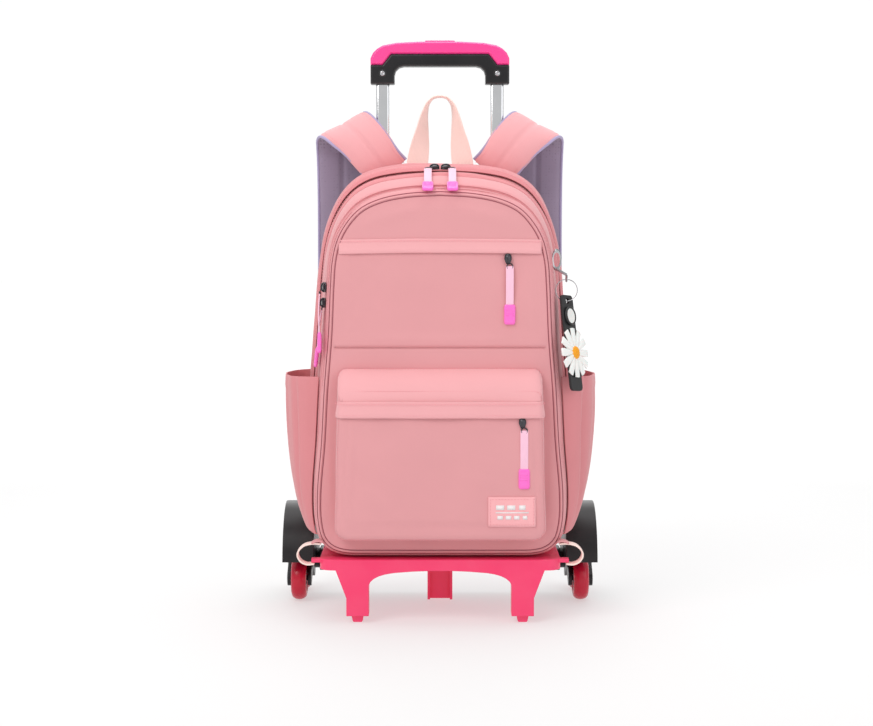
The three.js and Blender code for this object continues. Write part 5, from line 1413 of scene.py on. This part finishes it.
def make_webbing():
    pad_x = 0.77 * BAG_HALF
    top = STRAP_END - 1.4 * MM
    for name, sign in SIDES:
        lo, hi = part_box(f"strap_webbing_{name}")
        start = (pad_x, hi[1] - 1.0 * MM, top)
        end = (BAG_HALF - 28 * MM, BACK_Y + 9.5 * MM, 100 * MM)
        middles = []
        hang = ((0, 0, 0), (0.15, 0.04, 0), (0.28, 0.1, 0), (0.55, 0.4, 0.3), (0.8, 0.8, 0.72), (1, 1, 1))
        for down, out, back in hang:
            middles.append((sign * (start[0] + out * (end[0] - start[0])), start[1] + back * (end[1] - start[1]),
                            start[2] + down * (end[2] - start[2])))
        strip = ribbon_piece(f"lower_webbing_{name}", middles, [ACROSS] * 6, WEBBING_WIDE, 1.7 * MM)
        foot = Vector(middles[-1])
        slope = (Vector(middles[-2]) - foot).normalized()
        sewn = box_stitch(f"webbing_sewn_{name}", foot + slope * 12 * MM + BACK * 0.9 * MM, ACROSS, slope,
                          BACK, 18 * MM, 14 * MM)
        settle(joined(f"lower_strap_{name}", [strip, sewn]), [f"strap_webbing_{name}"])
        ladder = cad_copy(f"ladder_{name}", f"strap_adjuster_{name}", black_plastic())
        bevelled(ladder, 0.7 * MM)
        settle(ladder, [f"strap_adjuster_{name}"])
    rows = ((1, 0, 0), (0.94, 0.14, 14), (0.88, 0.27, 28), (0.77, 0.52, 55), (0.66, 0.76, 74), (0.5, 0.91, 84),
            (0.27, 0.985, 88), (0, 1, 90))
    lo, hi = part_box("carry_loop")
    y, foot = (lo[1] + hi[1]) / 2, top_at((lo[1] + hi[1]) / 2, 0) + 0.3 * MM
    left = [(-side * 26.5 * MM, foot + up * 80 * MM, turn) for side, up, turn in rows]
    both = left + [(-x, z, 180 - turn) for x, z, turn in left[-2::-1]]
    middles = [(x, y, z) for x, z, turn in both]
    sides = [(math.cos(math.radians(turn)), math.sin(math.radians(turn)), 0) for x, z, turn in both]
    loop = ribbon_piece("carry_webbing", middles, sides, WEBBING_WIDE, 1.8 * MM, steps=120)
    settle(loop, ["carry_loop"])
    loops = ((0, 0.02), (0.3, 0), (0.72, 0.1), (0.97, 0.38), (1, 0.6), (0.86, 0.87), (0.6, 1), (0.3, 0.98))
    for name, sign in SIDES:
        lo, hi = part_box(f"corner_loop_{name}")
        y = (lo[1] + hi[1]) / 2
        near = half_width(y + 8 * MM, 88.8 * MM) + 0.6 * MM
        top, low = hi[2] - 0.9 * MM, lo[2] + 0.9 * MM
        middles = [(sign * (near + out * 26 * MM), y, top + (low - top) * drop) for out, drop in loops]
        strip = ribbon_piece(f"corner_webbing_{name}", middles, [BACK] * 8, 15.6 * MM, 1.8 * MM)
        tab_places = [(sign * (near - 1 * MM + out * 26 * MM), y, top + 1.5 * MM - drop * 20 * MM)
                      for out, drop in ((-0.05, 0.0), (0.12, -0.06), (0.3, -0.03), (0.44, 0.06))]
        tab = swept(f"corner_tab_{name}", tab_places, [BACK] * 4, lambda share: strap_section(17 * MM, 1.6 * MM),
                    [cloth()], steps=16)
        settle(joined(f"corner_strap_{name}", [strip, tab]), [f"corner_loop_{name}"])


def make_back():
    inset = 4 * MM
    lo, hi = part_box("back_panel")
    thick = hi[1] - lo[1]
    ring = bag_outline(BACK_Y, inset)
    flat = ring[:, (0, 2)]
    spots, cells = filled(flat, 3.6 * MM)
    points = np.array(spots)
    fade = edge_fade(points, flat, 16 * MM)
    channel = np.exp(-(points[:, 0] / (3.2 * MM)) ** 2)
    for z in (190, 330):
        off_line = points[:, 1] - z * MM - 0.06 * np.abs(points[:, 0])
        channel = np.maximum(channel, np.exp(-(off_line / (3.2 * MM)) ** 2))
    swell = rumple(np.column_stack([points[:, 0], np.zeros(len(points)), points[:, 1]]), 0.05, 31)
    height = thick * (0.22 + 0.74 * fade * (1 - 0.62 * channel)) + 0.2 * MM * swell * fade
    face = np.column_stack([points[:, 0], lo[1] + height, points[:, 1]])
    count = len(ring)
    base = ring.copy()
    base[:, 1] = lo[1]
    vertices = np.vstack([base, face])
    faces = [tuple(i + count for i in cell) for cell in cells] + [tuple(range(count))]
    faces += [(j, (j + 1) % count, count + (j + 1) % count, count + j) for j in range(count)]
    panel = make_object("back_pad", vertices, faces, [mesh_cloth()])
    join_doubles(panel)
    binding = tube("back_piping", base + (0, thick * 0.3, 0), 1.7 * MM, side_cloth(), closed=True, sides=8)
    whole = joined("back_cushion", [panel, binding])
    settle(whole, ["back_panel"])
    lo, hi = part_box("trolley_sleeve")
    half, deep = hi[0] - 9 * MM, hi[1] - lo[1]
    right = [(hi[0], 0.0), (half + 7 * MM, 0.22), (half + 3.6 * MM, 0.6), (half + 2.2 * MM, 0.86),
             (half - 1 * MM, 0.99)]
    section = right + [(half * t, 1.0) for t in (0.7, 0.35, 0, -0.35, -0.7)] + [(-a, b) for a, b in right[::-1]]
    line = spline([(a, lo[1] + b * deep) for a, b in section], 90)
    rows = 60
    vertices = []
    for z in np.linspace(lo[2], hi[2], rows):
        for x, y in line:
            swell = noise.noise(Vector((x * 16, z * 22, 4.0)))
            vertices.append((x, y - 0.35 * MM * (1 + swell), z))
    sleeve = make_object("sleeve_cloth", vertices, ring_faces(rows, 90, closed=False), [side_cloth()])
    sleeve.data.flip_normals()
    modify(sleeve, "SOLIDIFY", thickness=1.4 * MM, offset=-1)
    hems = [([(x, y + 0.1 * MM, z) for x, y in line], [(0, 1, 0)] * 90) for z in (lo[2] + 9 * MM, hi[2] - 9 * MM)]
    sewn = stitches("sleeve_stitches", hems)
    settle(joined("sleeve_whole", [plain_mesh(sleeve), sewn]), ["trolley_sleeve"])


def make_key_ring():
    clasp = cad_copy("clasp", "key_clasp", steel())
    bevelled(clasp, 0.3 * MM, 2, 40)
    settle(clasp, ["key_clasp"])
    lo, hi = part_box("key_ring")
    centre = Vector(((lo[0] + hi[0]) / 2, (lo[1] + hi[1]) / 2, (lo[2] + hi[2]) / 2))
    radius = (hi[2] - lo[2]) / 2 - 0.9 * MM
    coil = []
    for k in range(97):
        turn = 2 * math.pi * 2 * k / 96
        coil.append(centre + Vector((radius * math.sin(turn), (k / 96 - 0.5) * 1.0 * MM, radius * math.cos(turn))))
    settle(tube("split_ring", coil, 0.5 * MM, steel(), sides=8), ["key_ring"])
    _, long, wide, thin, _ = node_frame("charm_strap")
    if thin.y > 0:
        thin.negate()
    wide = thin.cross(long)
    rubber = material("Tag Rubber", moulded, colours("black"), dull=0.45, scuff=0.1)
    strap = cad_copy("tag", "charm_strap", rubber)
    bevelled(strap, 0.6 * MM)
    settle(strap, ["charm_strap"])
    white = material("White Rubber", moulded, colours("white"), dull=0.4, coat=0.2, scuff=0.0, glow=0.1)
    badge_middle = node_frame("charm_badge")[0]
    profile = [(0, -1.2), (9.2, -1.2), (9.9, -0.8), (10, 0.3), (9.7, 0.9), (9.0, 1.1), (8.4, 0.8), (0.0, 0.95)]
    disc = turned_body("badge_disc", [(r * MM, h * MM) for r, h in profile], badge_middle, thin, white)
    rim = [(8.1, 0.4), (8.3, 1.3), (8.8, 1.7), (9.7, 1.6), (10.4, 1.0), (10.5, -0.9), (10.0, -1.5), (9.0, -1.5)]
    edge = turned_body("badge_rim", [(r * MM, h * MM) for r, h in rim], badge_middle, thin, rubber)
    settle(joined("badge_whole", [disc, edge]), ["charm_badge"])
    heart = node_frame("flower_charm")[0] - thin * 0.8 * MM
    radius, steps, rings = 27.5 * MM, 288, 15
    vertices = []
    for j in range(rings + 1):
        share = j / rings
        for i in range(steps):
            angle = 2 * math.pi * i / steps
            lobe = abs(math.cos(6 * angle))
            edge = radius * (0.46 + 0.54 * min(1.0, lobe * 1.7) ** 0.75)
            r = 5 * MM + share * (edge - 5 * MM)
            rise = 1.5 * lobe ** 0.35 + 0.5 * lobe * math.exp(-((share - 0.5) / 0.3) ** 2) - 1.1 * share ** 4
            vertices.append(heart + (wide * math.cos(angle) + long * math.sin(angle)) * r + thin * rise * MM)
    petals = make_object("petals", vertices, ring_faces(rings + 1, steps), [white])
    join_doubles(petals)
    if petals.data.polygons[0].normal.dot(thin) < 0:
        petals.data.flip_normals()
    modify(petals, "SOLIDIFY", thickness=1.6 * MM, offset=-1)
    yellow = material("Flower Centre", moulded, colours("centre"), dull=0.5, scuff=0.0, grain=300.0)
    dome = [(0, 3.6), (2.6, 3.4), (5.0, 2.8), (6.8, 1.8), (7.6, 0.6), (7.6, -0.6), (0, -0.6)]
    middle_part = turned_body("flower_centre", [(r * MM, h * MM) for r, h in dome], heart, thin, yellow, 40)
    spots = []
    for ring_radius in (2.2, 4.2, 6.0):
        ring = [heart + (wide * math.cos(a) + long * math.sin(a)) * ring_radius * MM
                + thin * (3.7 - 0.042 * ring_radius ** 2) * MM for a in np.linspace(0, 2 * math.pi, 40)]
        spots.append((ring, [thin] * 40))
    seeds = repeated("flower_seeds", spots, 1.5 * MM, (1.2 * MM, 1.2 * MM, 0.9 * MM), yellow)
    settle(joined("flower_whole", [plain_mesh(petals), middle_part, seeds]), ["flower_charm"])


def make_base():
    hard = (("base", base_plastic(), 1.1, "base_plastic"), ("axle_beam", black_plastic(), 0.9, "black_plastic"),
            ("mudguard_left", black_plastic(), 0.8, "black_plastic"),
            ("mudguard_right", black_plastic(), 0.8, "black_plastic"), ("axle", steel(), 0.6, "steel"),
            ("tube_bracket", black_plastic(), 1.0, "black_plastic"))
    for name, finish, width, slot in hard:
        copy = cad_copy(name + "_moulding", name, finish)
        bevelled(copy, width * MM, 3)
        settle(copy, [name])


# Section of a wheel in millimetres: radius and distance from its middle, for one side, from the bore out.
WHEEL_HALF = ((3.5, 8.2), (6.0, 8.2), (6.6, 7.4), (13.8, 6.9), (15.2, 7.6), (16.6, 8.8), (18.6, 9.0), (20.8, 8.4),
              (22.6, 7.1), (23.9, 5.2), (24.7, 2.8), (25.0, 0.0))


def make_wheels():
    tyre = material("Wheel Tyre", moulded, colours("wheel"), dull=0.26, coat=0.15, scuff=0.15, shine=0.35)
    hub = material("Wheel Hub", moulded, shaded(colours("black"), 2.2), dull=0.4)
    for name, sign in SIDES:
        star = f"star_{name}"
        plate = cad_copy(star + "_plate", star, black_plastic())
        bevelled(plate, 0.7 * MM, 2, 40)
        settle(plate, [star], star)
        for k in (1, 2, 3):
            wheel = f"wheel_{name}_{k}"
            lo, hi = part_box(wheel)
            centre = ((lo[0] + hi[0]) / 2, (lo[1] + hi[1]) / 2, (lo[2] + hi[2]) / 2)
            half = [(r * MM, w * MM) for r, w in WHEEL_HALF]
            tyre_ring = half + [(r, -w) for r, w in half[-2::-1]] + half[:1]
            body = turned_body(wheel + "_tyre", tyre_ring, centre, ACROSS, tyre, 72)
            boss = [(3.5, 8.4), (8.5, 8.4), (9.2, 7.7), (9.2, 6.6), (3.5, 6.6), (3.5, 8.4)]
            bosses = [turned_body(f"{wheel}_hub_{s}", [(r * MM, s * w * MM) for r, w in boss], centre, ACROSS, hub, 36)
                      for s in (1, -1)]
            spots = [([Vector(centre) + BACK * 11.6 * MM * math.cos(a) + UP * 11.6 * MM * math.sin(a)
                       + ACROSS * s * 7.0 * MM for a in np.linspace(0, 2 * math.pi, 37)], [ACROSS * s] * 37)
                     for s in (1, -1)]
            studs = repeated(f"{wheel}_studs", spots, 72.8 * MM / 8, (2.6 * MM, 2.6 * MM, 1.0 * MM), tyre)
            settle(joined(wheel + "_whole", [body, *bosses, studs]), [wheel], wheel)


def rounded_ring(half_x, half_y, radius, points=6):
    ring = []
    for x, y, begin in ((half_x - radius, half_y - radius, 0), (radius - half_x, half_y - radius, 90),
                        (radius - half_x, radius - half_y, 180), (half_x - radius, radius - half_y, 270)):
        for k in range(points + 1):
            angle = math.radians(begin + 90 * k / points)
            ring.append((x + radius * math.cos(angle), y + radius * math.sin(angle)))
    return ring


def make_tube(name, body):
    """Drawn tube with a flat front and an open end."""
    lo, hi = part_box(name)
    ring = rounded_ring((hi[0] - lo[0]) / 2, (hi[1] - lo[1]) / 2, 3 * MM)
    centre = ((lo[0] + hi[0]) / 2, (lo[1] + hi[1]) / 2)
    vertices, rows = [], (lo[2], lo[2] + 0.6 * MM, hi[2] - 0.6 * MM, hi[2])
    for k, z in enumerate(rows):
        shrink = 0.97 if k in (0, 3) else 1.0
        vertices += [(centre[0] + x * shrink, centre[1] + y * shrink, z) for x, y in ring]
    obj = make_object(name + "_drawn", vertices, ring_faces(4, len(ring)), [bright_tube()])
    join_doubles(obj, 1e-7)
    modify(obj, "SOLIDIFY", thickness=1.3 * MM, offset=-1)
    settle(obj, [name], body)


def make_handle():
    for name, sign in SIDES:
        make_tube(f"outer_tube_{name}", "root")
        make_tube(f"inner_tube_{name}", "handle")
    grip = cad_copy("grip_core", "grip_body", black_plastic())
    bevelled(grip, 1.2 * MM, 3, 35)
    lo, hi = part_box("grip_body")
    screws = []
    for sign in (-1, 1):
        place = Vector((sign * 67 * MM, lo[1] + 0.1 * MM, 614 * MM))
        head = [(0, 0.5), (0.6, 0.5), (0.7, 1.1), (2.6, 0.9), (3.1, 0.3), (3.1, -0.4), (0, -0.4)]
        screws.append(turned_body(f"screw_{sign}", [(r * MM, h * MM) for r, h in head], place, -BACK, steel(), 28))
        well = [(3.2, -0.2), (3.3, 0.25), (4.4, 0.3), (4.6, -0.3)]
        pit_ring = [(r * MM, h * MM) for r, h in well]
        screws.append(turned_body(f"well_{sign}", pit_ring, place, -BACK, black_plastic(), 28))
    settle(joined("grip_whole", [plain_mesh(grip), *screws]), ["grip_body"], "handle")
    pink = material("Grip Cover", moulded, colours("grip"), dull=0.32, coat=0.25, scuff=0.2, glow=0.05)
    cover = cad_copy("grip_shell", "grip_cover", pink)
    bevelled(cover, 1.8 * MM, 4, 35)
    settle(cover, ["grip_cover"], "handle")
    button = cad_copy("button_cap", "release_button", pink)
    bevelled(button, 0.8 * MM, 3, 35)
    lo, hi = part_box("release_button")
    ribs = []
    for k in range(-3, 4):
        x = k * 3.4 * MM
        ribs.append(tube(f"button_rib_{k}", [(x, lo[1] + 2.5 * MM, hi[2]), (x, (lo[1] + hi[1]) / 2, hi[2]),
                                             (x, hi[1] - 2.5 * MM, hi[2])], 0.45 * MM, pink, sides=6))
    settle(joined("button_whole", [plain_mesh(button), *ribs]), ["release_button"], "button")


CAMERA_PLACE = (-0.004, -2.1287, 0.4285)
CAMERA_TILT = 86
CAMERA_LENS = 76.7


def studio_floor(tree, surface):
    """Matt white floor, with a slight light of its own that keeps shadows pale and its far edge white."""
    use = effect(tree, "Handling", {"Patch": 1.5})
    tint = mixed(tree, use["Mottle"], (0.36, 0.36, 0.36, 1.0), (0.38, 0.38, 0.38, 1.0))
    tree.links.new(tint, surface.inputs["Base Color"])
    place = node(tree, "ShaderNodeTexCoord").outputs["Object"]
    away = node(tree, "ShaderNodeVectorMath", {0: place}, operation="LENGTH").outputs["Value"]
    glow = node(tree, "ShaderNodeMapRange", {0: away, 1: 1.2, 2: 4.5, 3: 1.0, 4: 1.75}).outputs[0]
    tree.links.new(glow, surface.inputs["Emission Color"])
    surface.inputs["Roughness"].default_value = 0.9
    surface.inputs["Emission Strength"].default_value = 0.5


def make_stage():
    scene = bpy.context.scene
    scene.view_settings.view_transform = "Standard"
    floor = material("Studio Floor", studio_floor)
    rim = [(14 * math.cos(a), 14 * math.sin(a), -0.0004) for a in np.linspace(0, 2 * math.pi, 97)[:-1]]
    make_object("studio_floor", rim, [tuple(range(96))], [floor])
    for name, place, size, power, colour in (
            ("key", (-1.4, -1.9, 2.3), 1.6, 37, (1.0, 0.98, 0.96)),
            ("fill", (1.9, -1.7, 1.2), 2.0, 11, (0.97, 0.98, 1.0)),
            ("top", (0.1, 0.3, 2.6), 1.8, 28, (1.0, 1.0, 1.0)),
            ("rim", (0.0, 2.2, 1.6), 2.2, 22, (1.0, 1.0, 1.0))):
        light = bpy.data.lights.new(name, "AREA")
        light.energy, light.size, light.color = power, size, colour
        lamp = bpy.data.objects.new(name, light)
        lamp.location = place
        lamp.rotation_euler = (Vector((0, 0, 0.3)) - Vector(place)).to_track_quat("-Z", "Y").to_euler()
        scene.collection.objects.link(lamp)
    world = bpy.data.worlds.new("Studio")
    world.use_nodes = True
    world.node_tree.nodes["Background"].inputs[0].default_value = (1, 1, 1, 1)
    seen_white = node(world.node_tree, "ShaderNodeLightPath").outputs["Is Camera Ray"]
    world.node_tree.links.new(sums(world.node_tree, "MULTIPLY_ADD", seen_white, 0.45, 0.56),
                              world.node_tree.nodes["Background"].inputs[1])
    scene.world = world
    camera = bpy.data.cameras.new("camera")
    camera.lens, camera.sensor_width = CAMERA_LENS, 36
    camera.clip_end = 60
    seen = bpy.data.objects.new("camera", camera)
    seen.location = CAMERA_PLACE
    seen.rotation_euler = (math.radians(CAMERA_TILT), 0, 0)
    scene.collection.objects.link(seen)
    scene.camera = seen


def piece_operator(key, label, about, make):
    """An operator class that makes one piece or group of like pieces."""
    def execute(self, context):
        make()
        return {"FINISHED"}
    return type(f"BACKPACK_OT_{key}", (bpy.types.Operator,), {
        "__doc__": about, "bl_idname": f"backpack.{key}", "bl_label": label, "bl_options": {"REGISTER"},
        "execute": execute})


OPERATORS = tuple(piece_operator(*row) for row in (
    ("stage", "Stage", "Floor, lights and camera", make_stage),
    ("bag", "Bag Cloth", "Cloth of the main and the front compartment", make_bag_shells),
    ("zips", "Zips", "Zip tapes, coils and piping", make_zips),
    ("front_pocket", "Front Pocket", "Cloth of the front pocket", make_front_pocket),
    ("flaps", "Flaps", "Flaps over the front zips", make_flaps),
    ("label", "Label", "Sewn patch on the front pocket", make_label),
    ("side_pockets", "Side Pockets", "Bottle pockets at the sides", make_side_pockets),
    ("pulls", "Sliders and Pulls", "Zip sliders and their pulls", make_sliders_and_pulls),
    ("straps", "Shoulder Straps", "Padded shoulder straps", make_straps),
    ("webbing", "Webbing", "Lower straps, carry loop and corner loops", make_webbing),
    ("back", "Back and Sleeve", "Padded back and the sleeve round the tubes", make_back),
    ("key_ring", "Key Ring", "Clasp, ring, tag, badge and flower", make_key_ring),
    ("base", "Base", "Moulded base, beam, guards, axle and bracket", make_base),
    ("wheels", "Wheels", "Wheel sets with their plates", make_wheels),
    ("handle", "Handle", "Tubes, grip and release button", make_handle),
))


class BACKPACK_PT_pieces(bpy.types.Panel):
    """Sizes, colours and pieces of the backpack"""
    bl_idname = "BACKPACK_PT_pieces"
    bl_label = "Backpack"
    bl_space_type = "VIEW_3D"
    bl_region_type = "UI"
    bl_category = "Backpack"

    def draw(self, context):
        for settings in (context.scene.backpack_sizes, context.scene.backpack_colours):
            for key in settings.__class__.__annotations__:
                self.layout.prop(settings, key)
        for operator in OPERATORS:
            self.layout.operator(operator.bl_idname)


CLASSES = (BackpackColours, BackpackSizes, *OPERATORS, BACKPACK_PT_pieces)


def register():
    for item in CLASSES:
        bpy.utils.register_class(item)
    bpy.types.Scene.backpack_colours = bpy.props.PointerProperty(type=BackpackColours)
    bpy.types.Scene.backpack_sizes = bpy.props.PointerProperty(type=BackpackSizes)


def unregister():
    del bpy.types.Scene.backpack_sizes
    del bpy.types.Scene.backpack_colours
    for item in reversed(CLASSES):
        bpy.utils.unregister_class(item)


def main():
    register()
    for operator in OPERATORS:
        group, name = operator.bl_idname.split(".")
        getattr(getattr(bpy.ops, group), name)()
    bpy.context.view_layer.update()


if __name__ == "__main__":
    main()
